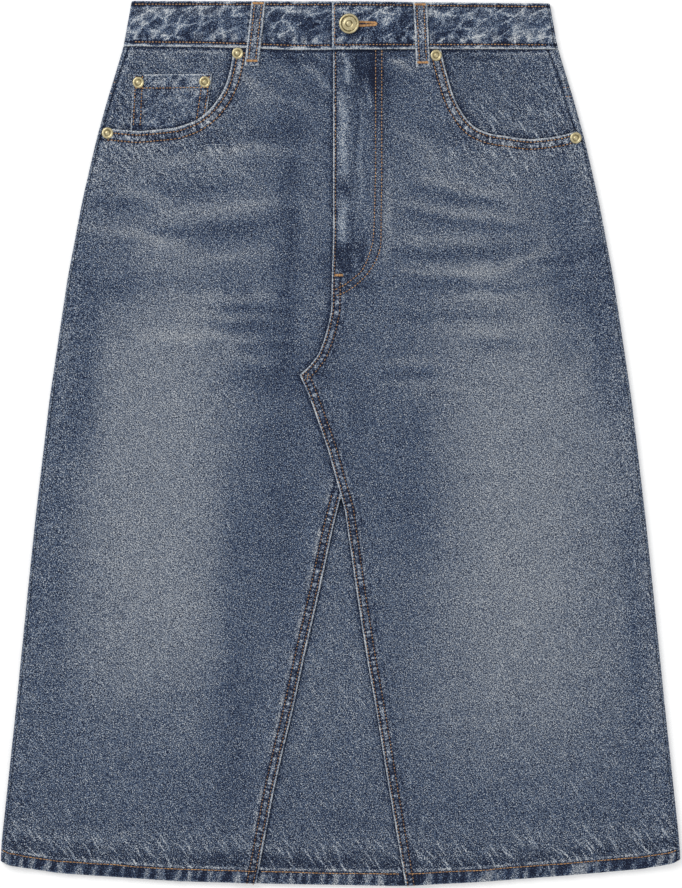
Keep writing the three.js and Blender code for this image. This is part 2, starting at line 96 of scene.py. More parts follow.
def fade(value: Array, full: float, none: float) -> Array:
    """1 up to the first value, 0 from the second on, with the S curve 1 - t²(3 - 2t) between.

    Args:
        value: what is measured.
        full: the value up to which the result is 1.
        none: the value from which the result is 0.

    Returns:
        The share, from 1 to 0.
    """
    t = np.clip((np.asarray(value, float) - full) / (none - full), 0.0, 1.0)
    return 1.0 - t * t * (3.0 - 2.0 * t)


def bell(value: Array, centre: float, width: float) -> Array:
    """A soft bump exp(-((value - centre) / width)²)."""
    return np.exp(-(((value - centre) / width) ** 2))


def mix(a: Array, b: Array, t: Array) -> Array:
    """The value a share t of the way from a to b."""
    return a + (b - a) * t


def from_photo(points: Points) -> Array:
    """Turns photo pixels (u, v) into (x, down) in millimetres.

    Args:
        points: pixel pairs.

    Returns:
        An array of (x, down) rows.
    """
    uv = np.array(points, float)
    return np.column_stack([(uv[:, 0] - PHOTO_MIDDLE_U) * PHOTO_SCALE, (uv[:, 1] - PHOTO_TOP_V) * PHOTO_SCALE])


class Curve:
    """A value along one axis: straight lines through its rows, rounded by a moving Hann window."""

    def __init__(self, rows: Points, soften: float = 0.0) -> None:
        """Samples the rows every half millimetre and rounds them.

        Args:
            rows: (place, value) pairs in rising order of place.
            soften: the width of the rounding window in millimetres, or 0 for sharp corners.
        """
        places, values = np.array(rows, float).T
        self.places = np.arange(places[0], places[-1] + 0.5, 0.5)
        self.values = np.interp(self.places, places, values)
        if soften:
            half = int(soften)
            window = np.hanning(2 * half + 1)
            start = 2 * self.values[0] - self.values[half:0:-1]
            end = 2 * self.values[-1] - self.values[-2 : -half - 2 : -1]
            padded = np.concatenate([start, self.values, end])
            self.values = np.convolve(padded, window / window.sum(), "valid")

    def __call__(self, at: Array) -> Array:
        """The curve's value at each place, level past its ends."""
        return np.interp(at, self.places, self.values)


@dataclass(frozen=True)
class Grain:
    """Smooth value noise: random heights on a square lattice, joined by S curves."""

    seed: int
    size: int = 128

    def __call__(self, x: Array, y: Array, cell_x: float, cell_y: float | None = None) -> Array:
        """Reads the noise.

        Args:
            x: first coordinate.
            y: second coordinate.
            cell_x: lattice spacing along the first coordinate.
            cell_y: lattice spacing along the second, the same as the first where it isn't given.

        Returns:
            Values from -1 to 1.
        """
        lattice = np.random.default_rng(self.seed).uniform(-1, 1, (self.size, self.size))
        a, b = np.asarray(x) / cell_x, np.asarray(y) / (cell_y or cell_x)
        ia, ib = np.floor(a).astype(int), np.floor(b).astype(int)
        fa, fb = 1 - fade(a - ia, 0, 1), 1 - fade(b - ib, 0, 1)
        ia, ib, ja, jb = ia % self.size, ib % self.size, (ia + 1) % self.size, (ib + 1) % self.size
        low = mix(lattice[ia, ib], lattice[ja, ib], fa)
        high = mix(lattice[ia, jb], lattice[ja, jb], fa)
        return mix(low, high, fb)


class Path:
    """A line on the cloth, given by (x, down) points, with its arc length."""

    def __init__(self, points: Array, spacing: float = 0.5, soften: float = 0.0) -> None:
        """Resamples the points evenly and rounds the corners.

        Args:
            points: (x, down) rows.
            spacing: distance between samples.
            soften: width of the rounding window, or 0.
        """
        points = np.asarray(points, float)
        reach = np.concatenate([[0], np.cumsum(np.hypot(*np.diff(points, axis=0).T))])
        even = np.linspace(0, reach[-1], max(2, int(reach[-1] / spacing) + 1))
        line = np.column_stack([np.interp(even, reach, points[:, k]) for k in (0, 1)])
        half = int(soften / spacing / 2)
        if half > 0:
            window = np.hanning(2 * half + 3)[1:-1]
            window /= window.sum()
            start, end = 2 * line[0] - line[half:0:-1], 2 * line[-1] - line[-2 : -half - 2 : -1]
            padded = np.vstack([start, line, end])
            line = np.column_stack([np.convolve(padded[:, k], window, "valid") for k in (0, 1)])
        self.points = line
        self.reach = np.concatenate([[0], np.cumsum(np.hypot(*np.diff(line, axis=0).T))])

    @property
    def length(self) -> float:
        """The path's length."""
        return float(self.reach[-1])

    def at(self, along: Array, offset: Array | float = 0.0) -> Array:
        """Points at arc lengths, moved to the right of the path's own direction.

        Args:
            along: arc lengths.
            offset: sideways distance; on a path that runs down the skirt, positive moves towards -x.

        Returns:
            (..., 2) array of (x, down).
        """
        slope = np.gradient(self.points, axis=0)
        slope /= np.maximum(np.hypot(slope[:, 0], slope[:, 1])[:, None], 1e-9)
        spot = [np.interp(along, self.reach, self.points[:, k]) for k in (0, 1)]
        turn = [np.interp(along, self.reach, slope[:, k]) for k in (0, 1)]
        return np.stack([spot[0] - turn[1] * offset, spot[1] + turn[0] * offset], axis=-1)

    def distance(self, x: Array, down: Array, step: int = 4) -> tuple[Array, Array]:
        """The distance from each point to the path, positive to the path's right, and the arc length there.

        Args:
            x, down: the points.
            step: how many samples one straight line spans.

        Returns:
            Signed distance and arc length, shaped as x.
        """
        line = np.vstack([self.points[:-1:step], self.points[-1:]])
        reach = np.concatenate([self.reach[:-1:step], self.reach[-1:]])
        best, side, place = (np.full(np.shape(x), fill) for fill in (np.inf, 1.0, 0.0))
        for a, b, from_reach, to_reach in zip(line[:-1], line[1:], reach[:-1], reach[1:]):
            dx, dd = b - a
            t = np.clip(((x - a[0]) * dx + (down - a[1]) * dd) / (dx * dx + dd * dd), 0, 1)
            off_x, off_d = x - a[0] - t * dx, down - a[1] - t * dd
            gap = np.hypot(off_x, off_d)
            nearer = gap < best
            best = np.where(nearer, gap, best)
            side = np.where(nearer, np.sign(dx * off_d - dd * off_x), side)
            place = np.where(nearer, mix(from_reach, to_reach, t), place)
        return best * np.where(side == 0, 1.0, side), place


class Cut:
    """The lines that the skirt is cut and sewn on, as it lies."""

    half_width = Curve(((0, 173.2), (39, 180.2), (82, 193.4), (115, 202.5), (165, 214.1), (231, 226.6), (331, 241.5),
                        (430, 253.2), (497, 260.2), (596, 270.2), (696, 281.0), (714, 282.0)), soften=30)
    hem = Curve(((-282, 713), (-276, 716.7), (-233, 723.4), (-133, 730.1), (-50, 732.3), (49, 734), (116, 730.7),
                 (182, 725.7), (249, 719.9), (276, 715.3), (282, 711.5)), soften=12)
    band_top = Curve(((-175, 0), (0, 0.4), (175, 2.1)))
    waist = Curve(((-300, 37.5), (-180, 37.7), (-110, 38.3), (-36, 40.8), (40, 40.2), (130, 40), (300, 41.1)),
                  soften=12)
    centre_upper = Curve(((36, -6), (199, -6.2), (240, -7.4), (257, -7.7), (269, -10.2), (282, -14), (293, -18.3),
                          (303.6, -26.5), (310, -34.2)), soften=5)
    centre_lower = Curve(((310, -34.2), (320, -29.2), (333, -24.2), (371, -10.8), (422, 3.6), (487, 12.8),
                          (541, 21.2), (585, 29), (637, 37.6), (654, 40.3), (700, 48.2), (740, 55)), soften=9)
    gusset = Curve(((396, 4.2), (413, -0.2), (435, -5.8), (487, -16.9), (540, -29.2), (590, -40), (622, -47.8),
                    (655, -55.3), (700, -63.9), (740, -71.4)), soften=9)
    turn_left = Curve(((0, 4.6), (39, 4.6), (70, 3.2), (120, 2.8)), soften=10)
    turn_right = Curve(((0, 9.3), (39, 9.3), (60, 6.6), (90, 7), (103, 6.2), (118, 2.8), (140, 2.8)), soften=6)
    mouth_left = Path(((-88, 34), (-90.1, 51), (-94, 67), (-100.3, 80), (-109, 91), (-120.2, 99.6), (-136, 105.2),
                       (-168, 108.3), (-205, 105)), soften=16)
    mouth_right = Path(((82, 34), (85.5, 51), (92.2, 75), (97.4, 87.2), (104, 97.7), (111.7, 105.3), (123.2, 110.1),
                        (156.5, 115), (180.4, 112.5), (208, 105)), soften=16)
    coin_low = 112.5
    coin_left = -174.2
    coin_right = -106.7

    @classmethod
    def centre(cls, down: Array) -> Array:
        """The folded edge of the right front panel: fly, crotch, then the inset triangle."""
        return np.where(np.asarray(down) < CROTCH_DOWN, cls.centre_upper(down), cls.centre_lower(down))

    @classmethod
    def left_panel_edge(cls, down: Array) -> Array:
        """The left panel's right edge: hidden under the right panel, then free beside the triangle."""
        return mix(cls.gusset(down), cls.centre(down) + UNDERLAP, np.clip((LEFT_EDGE_FREE - down) / 10, 0, 1))

    @classmethod
    def turn(cls, side: int, down: Array) -> Array:
        """The width of back cloth that turns over a side fold (side is -1 or 1)."""
        return cls.turn_left(down) if side < 0 else cls.turn_right(down)

    @classmethod
    def side_seam(cls, side: int, down: Array) -> Array:
        """x of the seam where the back cloth meets the front."""
        return side * (cls.half_width(down) - cls.turn(side, down))

    @staticmethod
    def yoke(x: Array) -> Array:
        """The seam between back yoke and back panel, deepest in the middle."""
        return mix(104.0, 66.0, np.minimum(1.0, np.abs(x) / 185))


@dataclass(frozen=True)
class Fold:
    """A soft ridge between two points: half width and height in millimetres."""

    x0: float
    down0: float
    x1: float
    down1: float
    spread: float
    height: float

    def lift(self, x: Array, down: Array) -> Array:
        """Height sin along the ridge, times the S fade across it.

        Args:
            x, down: the points.

        Returns:
            Height added.
        """
        dx, dd = self.x1 - self.x0, self.down1 - self.down0
        along = np.clip(((x - self.x0) * dx + (down - self.down0) * dd) / (dx * dx + dd * dd), 0, 1)
        off = np.hypot(x - self.x0 - along * dx, down - self.down0 - along * dd)
        return self.height * np.sin(np.pi * mix(0.15, 0.85, along)) * fade(off, 0, self.spread)


@dataclass(frozen=True)
class Stroke:
    """A brushed line of wash: photo points, half width in pixels and strength in steps of brightness."""

    points: Points
    width: float
    strength: float

    @classmethod
    def table(cls, rows: tuple[tuple, ...]) -> tuple["Stroke", ...]:
        """Strokes from rows of photo points, a half width and a strength."""
        return tuple(cls(row[:-2], *row[-2:]) for row in rows)

    def tone(self, x: Array, down: Array) -> Array:
        """Strength times a bell across the line, thinning out at both ends.

        Args:
            x, down: the points.

        Returns:
            Brightness added at each point.
        """
        path = Path(from_photo(self.points), spacing=2.0, soften=14.0)
        reach = 3 * self.width * PHOTO_SCALE + 6
        low, high = path.points.min(axis=0) - reach, path.points.max(axis=0) + reach
        near = (x > low[0]) & (x < high[0]) & (down > low[1]) & (down < high[1])
        tone = np.zeros(np.shape(x))
        if near.any():
            off, along = path.distance(x[near], down[near], step=5)
            taper = np.sin(np.pi * np.clip(mix(0.1, 0.9, along / path.length), 0, 1)) ** 0.6
            tone[near] = self.strength * taper * bell(off, 0, self.width * PHOTO_SCALE)
        return tone


class Wash:
    """How far each point of the front has faded, with painted shade of a fold under the band, in the photo's steps of
    brightness (0 black, 255 white).
    """

    darkest = 45.0
    span = 165.0
    level = Curve(((0, 89), (110, 88), (140, 92), (190, 94), (250, 90), (330, 88), (420, 87), (500, 91), (580, 92),
                   (630, 87), (665, 80), (700, 76), (735, 71)), soften=30)
    light = Stroke.table((
        ((162, 161), (205, 150), (260, 148), (305, 154), 6.5, 19), ((120, 193), (145, 195), (166, 200), 6, 14),
        ((162, 214), (214, 210), (260, 203), (298, 200), 6, 17), ((82, 226), (133, 234), (182, 247), 6, 19),
        ((200, 258), (230, 256), (262, 251), 5, 12), ((172, 297), (220, 299), (272, 296), 5, 13),
        ((176, 314), (225, 318), (272, 317), 4.5, 12), ((143, 335), (209, 334), (262, 344), 6.5, 17),
        ((222, 350), (260, 362), (280, 365), 4.5, 11), ((413, 176), (455, 187), (515, 197), 6, 17),
        ((405, 203), (455, 214), (515, 219), 5.5, 16), ((395, 238), (436, 242), (478, 243), 6, 15),
        ((402, 271), (474, 274), (503, 268), (544, 251), 6, 20), ((452, 298), (485, 297), (515, 299), 5, 12),
        ((386, 363), (410, 362), (434, 364), 4, 10), ((376, 388), (420, 386), (476, 389), 5, 9),
        ((440, 330), (490, 334), (545, 326), 6, 10), ((341, 90), (342.5, 140), (342, 180), 4.4, 44),
        ((343, 198), (343.5, 220), (341.5, 240), 3.8, 40), ((360, 115), (361, 165), (361, 210), 2.4, 24),
        ((354, 104), (353, 150), (355, 188), 2.0, 14), ((346, 55), (349, 68), (346, 82), 4, 32),
        ((365, 60), (369, 80), (370, 110), 1.6, 26), ((389, 180), (388, 225), (387, 262), 4, 16),
        ((352, 256), (356, 262), (360, 268), 2.2, 18), ((392, 60), (402, 64), (412, 72), 4, 24),
        ((298, 52), (318, 56), (331, 61), 2.2, 26), ((296, 55), (303, 64), (314, 72), 1.8, 24),
        ((250, 100), (275, 96), (305, 108), 6, 14), ((398, 130), (425, 150), (440, 168), 8, 12),
        ((240, 74), (250, 82), (262, 90), 5, 26), ((276, 66), (292, 78), (300, 84), 4, 18),
        ((160, 57), (175, 62), (190, 70), 4, 18), ((343, 54), (347, 66), (345, 79), 2.4, 40),
        ((361, 60), (364, 78), (369, 92), (371, 108), 2.2, 30), ((300, 53), (314, 66), (331, 90), 2.2, 20),
        ((386, 58), (396, 62), (404, 60), 2.2, 34),
    ))
    # Darker streaks of the wash; the one from (445, 54) to (495, 55) is painted shade of the fold where the facing
    # dips under the waistband.
    dark = Stroke.table((
        ((171, 153), (196, 149), (232, 140), 6, -20), ((148, 192), (185, 190), (228, 184), 9, -16),
        ((92, 203), (120, 206), (150, 208), 5.5, -15), ((150, 231), (205, 232), (272, 220), 6, -17),
        ((178, 241), (215, 242), (262, 232), 9, -11), ((222, 309), (255, 311), (290, 312), 5, -17),
        ((212, 326), (250, 326), (290, 329), 5, -16), ((242, 345), (268, 345), (294, 349), 5, -17),
        ((228, 380), (262, 380), (296, 378), 14, -9), ((287, 165), (288, 260), (286, 366), 10, -11),
        ((284, 375), (281, 480), (284, 620), 24, -9), ((414, 189), (462, 197), (502, 206), 5, -15),
        ((409, 216), (440, 220), (478, 229), (533, 229), 5, -17), ((397, 254), (474, 256), (533, 246), 6.5, -17),
        ((500, 275), (531, 264), (570, 258), (610, 253), 5.5, -13),
        ((405, 283), (493, 287), (531, 285), (572, 276), 5.5, -15), ((401, 317), (455, 318), (514, 315), 5, -11),
        ((386, 376), (410, 377), (434, 375), 5, -11), ((560, 297), (580, 296), (598, 297), 9, -11),
        ((416, 420), (415, 470), (418, 560), 22, -7), ((355, 88), (356, 125), (355, 180), 3.2, -20),
        ((370, 56), (374, 84), (374, 120), 7, -26), ((355, 84), (352, 88), (341, 92), 6, -20),
        ((348, 190), (349, 196), (345, 200), 5, -26), ((352, 200), (353, 235), (350, 262), 5, -14),
        ((337, 243), (341, 258), (342, 274), 5.5, -42), ((349, 246), (351, 264), (349, 280), 4.5, -38),
        ((362, 238), (364, 252), (361, 268), 4.5, -36), ((343, 178), (345, 187), (343, 196), 5, -24),
        ((384, 60), (386, 100), (388, 152), 5, -12), ((445, 54), (470, 57), (495, 55), 5, -26),
        ((425, 128), (440, 136), (448, 150), 7, -13), ((290, 72), (305, 84), (322, 100), 7, -12),
        ((336, 300), (330, 335), (318, 366), 12, -8), ((264, 372), (285, 367), (306, 364), 7, -9),
        ((235, 470), (236, 640), (232, 810), 20, -12), ((88, 235), (87, 340), (84, 450), 17, -14),
        ((118, 215), (122, 270), (124, 325), 18, -10), ((563, 150), (566, 240), (572, 350), 20, -15),
        ((598, 240), (600, 320), (606, 410), 16, -16), ((628, 510), (634, 640), (640, 770), 11, -13),
        ((78, 285), (150, 286), (245, 282), 13, -11), ((290, 66), (291, 180), (290, 292), 12, -12),
        ((178, 138), (240, 136), (305, 132), 9, -15), ((446, 128), (460, 137), (474, 143), 8, -20),
        ((318, 252), (325, 262), (328, 276), 8, -14), ((350, 286), (362, 288), (376, 288), 9, -16),
        ((346, 50), (370, 66), (398, 84), 13, -24), ((310, 371), (324, 377), (338, 382), 8, -15),
        ((476, 346), (494, 346), (514, 344), 7, -13), ((40, 690), (130, 716), (250, 700), 28, -7),
        ((40, 750), (130, 765), (250, 760), 20, -6), ((180, 856), (290, 860), (400, 861), 9, -13),
        ((352, 370), (356, 400), (360, 440), 10, -9), ((344, 62), (362, 74), (378, 88), 11, -18),
        ((270, 57), (298, 58), (326, 60), 7, -34), ((366, 54), (388, 54), (410, 55), 4, -34),
        ((357, 55), (364, 74), (366, 92), 6, -24), ((372, 52), (373, 95), 2.6, -22),
        ((342, 247), (352, 250), (362, 244), 7, -16), ((112, 92), (120, 105), (128, 118), 10, -12),
    ))
    patches = Grain(11)
    ropes = Grain(13)

    @classmethod
    def thigh(cls, x: Array, down: Array, centre: float, middle: float, wide: float, tall: float,
              gain: float) -> Array:
        """A worn patch: gain times exp(-|across|³) exp(-|along|³).

        Args:
            x, down: the points.
            centre: x of the patch's middle.
            middle: down of the patch's middle.
            wide: half its width.
            tall: half its length.
            gain: brightness in its middle.

        Returns:
            Brightness added.
        """
        across = np.abs((x - centre) / wide) ** 3
        along = np.abs((down - middle) / tall) ** 3
        return gain * np.exp(-across - along)

    @classmethod
    def brightness(cls, x: Array, down: Array) -> Array:
        """Brightness of the washed cloth before grain, from the level, worn thighs, whiskers and creases.

        Args:
            x, down: the points.

        Returns:
            Brightness, 0 to 255.
        """
        wave = 5.0 * cls.patches(x, down, 38, 30)
        tone = cls.level(down + wave)
        tone = tone + cls.thigh(x + wave, down, -156, 398, 70, 204, 36)
        tone = tone + cls.thigh(x + wave, down, 150, 418, 74, 205, 36)
        tone = tone + 13 * fade(Cut.half_width(down) - x, 12, 60) * bell(down, 440, 190)
        tone = tone - 9 * bell(Cut.half_width(down) + x, 22, 14) * bell(down, 390, 170)
        sway_x = x + 2.2 * cls.patches(down, x, 14, 20)
        sway_d = down + 2.4 * cls.patches(x + 300, down, 16, 11)
        for stroke in cls.light + cls.dark:
            tone = tone + 1.4 * stroke.tone(sway_x, sway_d)
        return tone + 3 * cls.patches(x, down + 900, 21, 12) + 2 * cls.patches(x + 500, down, 8, 6)

    @classmethod
    def ropes_at(cls, along: Array, across: Array, reach: float, gain: float) -> Array:
        """Slanting light and dark bars that fade away from a seam.

        Args:
            along: arc length down the seam.
            across: distance from it.
            reach: where the bars have gone.
            gain: brightness of a bar.

        Returns:
            Brightness added.
        """
        slant = along + 0.8 * across
        bars = cls.ropes(slant, across, 4.6, 8.0) + 0.6 * cls.ropes(slant + 400, across, 2.5, 4.5)
        return gain * bars * fade(across, reach * 0.45, reach)

    @classmethod
    def side_tone(cls, off: Array, down: Array) -> Array:
        """The side seam: a dark line of painted shade with ropes by the pockets, hardly there below them.

        Args:
            off: distance from the seam.
            down: down of the points.

        Returns:
            Brightness added.
        """
        shown = 0.12 + 0.88 * fade(down, 112, 150)
        # The dark line is painted shade in the seam.
        return cls.ropes_at(down + 900, off, 11, 12) - 38 * shown * fade(off, 0.4, 1.9)

    @classmethod
    def hem_tone(cls, low: Array, x: Array) -> Array:
        """The turned-up hem: upright light and dark blocks, a pale line over the stitches, dark cloth above it.

        Args:
            low: distance from the hem's fold.
            x: x of the points.

        Returns:
            Brightness added.
        """
        slant = x - 0.25 * low
        slant = slant + 1.5 * cls.ropes(x, low, 7, 6)
        beat = np.sin(2 * np.pi * (slant / 10.6 + 0.9 * cls.ropes(slant, 0 * low, 26)))
        blocks = 0.5 * beat + 0.7 * cls.ropes(slant, low, 4.6, 22) + 0.4 * cls.ropes(slant + 300, low, 2.2, 9)
        blocks = np.tanh(2.4 * blocks) * fade(low, 9.2, 10.2)
        beads = 1.0 + 0.5 * cls.ropes(x, low + 90, 5, 40) + 0.5 * cls.patches(x, low, 2.6, 3)
        line = bell(low, 12.0, 1.0) * np.clip(beads, 0.1, 1.6)
        above = fade(low, 14, 30) * (1 - fade(low, 9.8, 10.6)) * (0.85 + 0.4 * cls.ropes(slant, low + 50, 6, 9))
        return 58 * blocks + 2 * fade(low, 9.4, 10.4) + 84 * line - 42 * above


class Lie:
    """Heights of the cloth as it lies, in millimetres above the surface."""

    folds = (
        Fold(-160, 150, -60, 134, 17, 1.1), Fold(-178, 190, -62, 168, 17, 1.2), Fold(-150, 240, -70, 250, 19, 1.0),
        Fold(-165, 292, -70, 296, 20, 1.1), Fold(62, 150, 150, 166, 17, 1.1), Fold(52, 200, 165, 204, 17, 1.3),
        Fold(60, 252, 165, 240, 19, 1.1), Fold(55, 312, 130, 318, 19, 0.9), Fold(-190, 400, -215, 690, 34, 1.3),
        Fold(-130, 470, -150, 690, 30, 0.9), Fold(130, 420, 150, 690, 32, 1.0), Fold(195, 380, 222, 680, 32, 1.3),
    )
    wrinkles = Grain(21)

    @classmethod
    def ground(cls, x: Array, down: Array) -> Array:
        """Underside of the front: on the back, rising to side folds, waistband and hem, with folds and wrinkles.

        Args:
            x, down: the points.

        Returns:
            Heights.
        """
        side = (BAND_TOP - WALL - STEP) * fade(Cut.half_width(down) - np.abs(x), 4, SIDE_REACH)
        waist = WAIST_RISE * fade(down - Cut.waist(x), 0, 20)
        lift = np.maximum.reduce([fold.lift(x, down) for fold in cls.folds])
        fine = 0.30 * cls.wrinkles(x, down, 19, 13) + 0.14 * cls.wrinkles(x + 700, down, 8, 6)
        calm = fade(Cut.half_width(down) - np.abs(x), 2, 12) * 0.8
        return STEP + np.maximum.reduce([side, waist, cls.hem(x, down)]) + lift + (0.25 + fine) * (1 - calm)

    @staticmethod
    def hem(x: Array, down: Array) -> Array:
        """What the turned-up hem of the layer below lifts the cloth by."""
        return HEM_EXTRA * fade(Cut.hem(x) - down, HEM_DEPTH, HEM_DEPTH + 3)

    @classmethod
    def over_gusset(cls, outside: Array, x: Array, down: Array) -> Array:
        """What the inset triangle lifts a panel by, from how far outside its edge a point lies."""
        return (STEP + cls.hem(x, down)) * fade(outside, 3, 18) * fade(GUSSET_TOP - down, 3, 18)

    @classmethod
    def left_panel(cls, x: Array, down: Array) -> Array:
        """Underside of the left front panel, over the pocket layers and the triangle.

        Args:
            x, down: the points.

        Returns:
            Heights.
        """
        mouth, _ = Cut.mouth_left.distance(x, down, step=12)
        beside = np.maximum(np.maximum(Cut.coin_left - x, x - Cut.coin_right), 0)
        off_coin = np.hypot(beside, np.maximum(down - Cut.coin_low, 0))
        pocket = fade(np.abs(mouth), 12, 30) + fade(off_coin, 5, 22) * fade(down, 138, 160)
        return cls.ground(x, down) + STEP * pocket + cls.over_gusset(Cut.gusset(down) - UNDERLAP - x, x, down)

    @classmethod
    def right_panel(cls, x: Array, down: Array) -> Array:
        """Underside of the right front panel, over the pocket facing, the left panel and the triangle.

        Args:
            x, down: the points.

        Returns:
            Heights.
        """
        mouth, _ = Cut.mouth_right.distance(x, down, step=12)
        layers = fade(np.abs(mouth), 12, 30) + fade(x - Cut.left_panel_edge(down), 3, 18)
        return cls.ground(x, down) + STEP * layers + cls.over_gusset(x - Cut.centre(down) - UNDERLAP, x, down)


def rolled(distance: Array, radius: float = 0.8) -> Array:
    """How far a rolled edge has dropped at a distance from it: radius - sqrt(radius² - (radius - distance)²)."""
    inside = np.clip(radius - distance, 0, radius)
    return radius - np.sqrt(np.maximum(radius**2 - inside**2, 0))


def to_xyz(x: Array, down: Array, z: Array) -> Array:
    """Joins x, down and height into points in the skirt's frame, y being TOP_Y - down."""
    x, down, z = np.broadcast_arrays(x, down, z)
    return np.stack([x, TOP_Y - down, z], axis=-1)


def below(outer: Array, x: Array, down: Array, under: Array) -> Array:
    """A wall's inner points: on its underside, but at least the thinnest wall below its face."""
    return to_xyz(x, down, np.minimum(under, outer[..., 2] - THINNEST))


def corners(grid: Array) -> list[Array]:
    """The grid's numbers at the four corners of every cell."""
    return [grid[:-1, :-1], grid[1:, :-1], grid[:-1, 1:], grid[1:, 1:]]


def trace(x: Array, down: Array) -> Path:
    """A path through points given by x and down, either of which may be one number."""
    return Path(np.column_stack(np.broadcast_arrays(x, down)))


def new_object(name: str, points: Array, faces: Array, values: dict[str, Array]) -> Piece:
    """Puts points and four-cornered faces into a smooth mesh object.

    Args:
        name: the piece's name.
        points: (n, 3) millimetres.
        faces: (m, 4) indices, anticlockwise from outside.
        values: named numbers for each point.

    Returns:
        The linked object, at the origin.
    """
    used, faces = np.unique(faces, return_inverse=True)
    faces = faces.reshape(-1, 4)
    mesh = bpy.data.meshes.new(name)
    mesh.vertices.add(len(used))
    mesh.vertices.foreach_set("co", (points[used] * MM).astype(np.float32).ravel())
    mesh.loops.add(faces.size)
    mesh.loops.foreach_set("vertex_index", faces.astype(np.int32).ravel())
    mesh.polygons.add(len(faces))
    mesh.polygons.foreach_set("loop_start", np.arange(0, faces.size, 4, dtype=np.int32))
    mesh.polygons.foreach_set("use_smooth", np.ones(len(faces), bool))
    mesh.update(calc_edges=True)
    for key, numbers in values.items():
        layer = mesh.attributes.new(key, "FLOAT", "POINT")
        layer.data.foreach_set("value", np.asarray(numbers, np.float32)[used])
    piece = bpy.data.objects.new(name, mesh)
    bpy.context.collection.objects.link(piece)
    return piece


def shell(name: str, outer: Array, inner: Array, values: dict[str, Array | float], keep: Array | None = None,
          flip: bool = False) -> Piece:
    """A closed wall between an outer and an inner grid of points, with a rim wherever the kept cells end.

    Args:
        name: the piece's name.
        outer: (rows, columns, 3) points; rows run down and columns run to the right.
        inner: the same grid one wall below.
        values: named numbers, one for the piece or (rows, columns); row_mm is far off where it isn't named.
        keep: (rows - 1, columns - 1) cells that are cloth, or None for all.
        flip: turn the faces round, where the columns run the other way.

    Returns:
        The object.
    """
    rows, columns = outer.shape[:2]
    at = np.arange(rows * columns).reshape(rows, columns)
    under = at + rows * columns
    kept = np.ones((rows - 1, columns - 1), bool) if keep is None else keep
    padded = np.pad(kept, 1)

    def quads(mask: Array, *corners: Array) -> Array:
        """Faces from four corner grids, only where the mask holds."""
        return np.stack([corner[mask] for corner in corners], axis=-1)

    a, b, c, d = at[:-1, :-1], at[1:, :-1], at[1:, 1:], at[:-1, 1:]
    a2, b2, c2, d2 = under[:-1, :-1], under[1:, :-1], under[1:, 1:], under[:-1, 1:]
    faces = np.concatenate([
        quads(kept, a, b, c, d),
        quads(kept, d2, c2, b2, a2),
        quads(kept & ~padded[1:-1, 2:], d, c, c2, d2)[:, ::-1],
        quads(kept & ~padded[1:-1, :-2], a2, b2, b, a)[:, ::-1],
        quads(kept & ~padded[:-2, 1:-1], d, d2, a2, a)[:, ::-1],
        quads(kept & ~padded[2:, 1:-1], b, b2, c2, c)[:, ::-1],
    ])
    if flip:
        faces = faces[:, ::-1]
    points = np.concatenate([outer.reshape(-1, 3), inner.reshape(-1, 3)])
    named = {"row_mm": NO_ROW} | values
    doubled = {key: np.tile(np.broadcast_to(numbers, (rows, columns)).ravel(), 2) for key, numbers in named.items()}
    return new_object(name, points, faces, doubled)


def tube(rings: int, sides: int, cap: Array) -> Array:
    """Faces of a closed tube whose rings follow one another.

    Args:
        rings: how many rings.
        sides: points in each ring.
        cap: four-cornered faces that close a ring, by its points.

    Returns:
        (m, 4) indices, anticlockwise from outside.
    """
    at = np.arange(rings * sides).reshape(rings, sides)
    a, b = at[:-1], at[1:]
    faces = np.stack([a, np.roll(a, -1, 1), np.roll(b, -1, 1), b], axis=-1).reshape(-1, 4)
    return np.concatenate([faces, at[-1][cap], at[0][cap][:, ::-1]])


class Slot(Enum):
    """The record's material slots."""

    DENIM = "denim"
    THREAD = "thread"
    BRASS = "brass"


def linear(red: float, green: float, blue: float) -> tuple[float, float, float, float]:
    """A display colour in scene-linear light: ((value + 0.055) / 1.055)^2.4, a straight line near black.

    Args:
        red: 0 to 255.
        green: 0 to 255.
        blue: 0 to 255.

    Returns:
        Red, green, blue and alpha from 0 to 1.
    """
    rgb = np.array([red, green, blue]) / 255
    rgb = np.where(rgb <= 0.04045, rgb / 12.92, ((rgb + 0.055) / 1.055) ** 2.4)
    return (float(rgb[0]), float(rgb[1]), float(rgb[2]), 1.0)


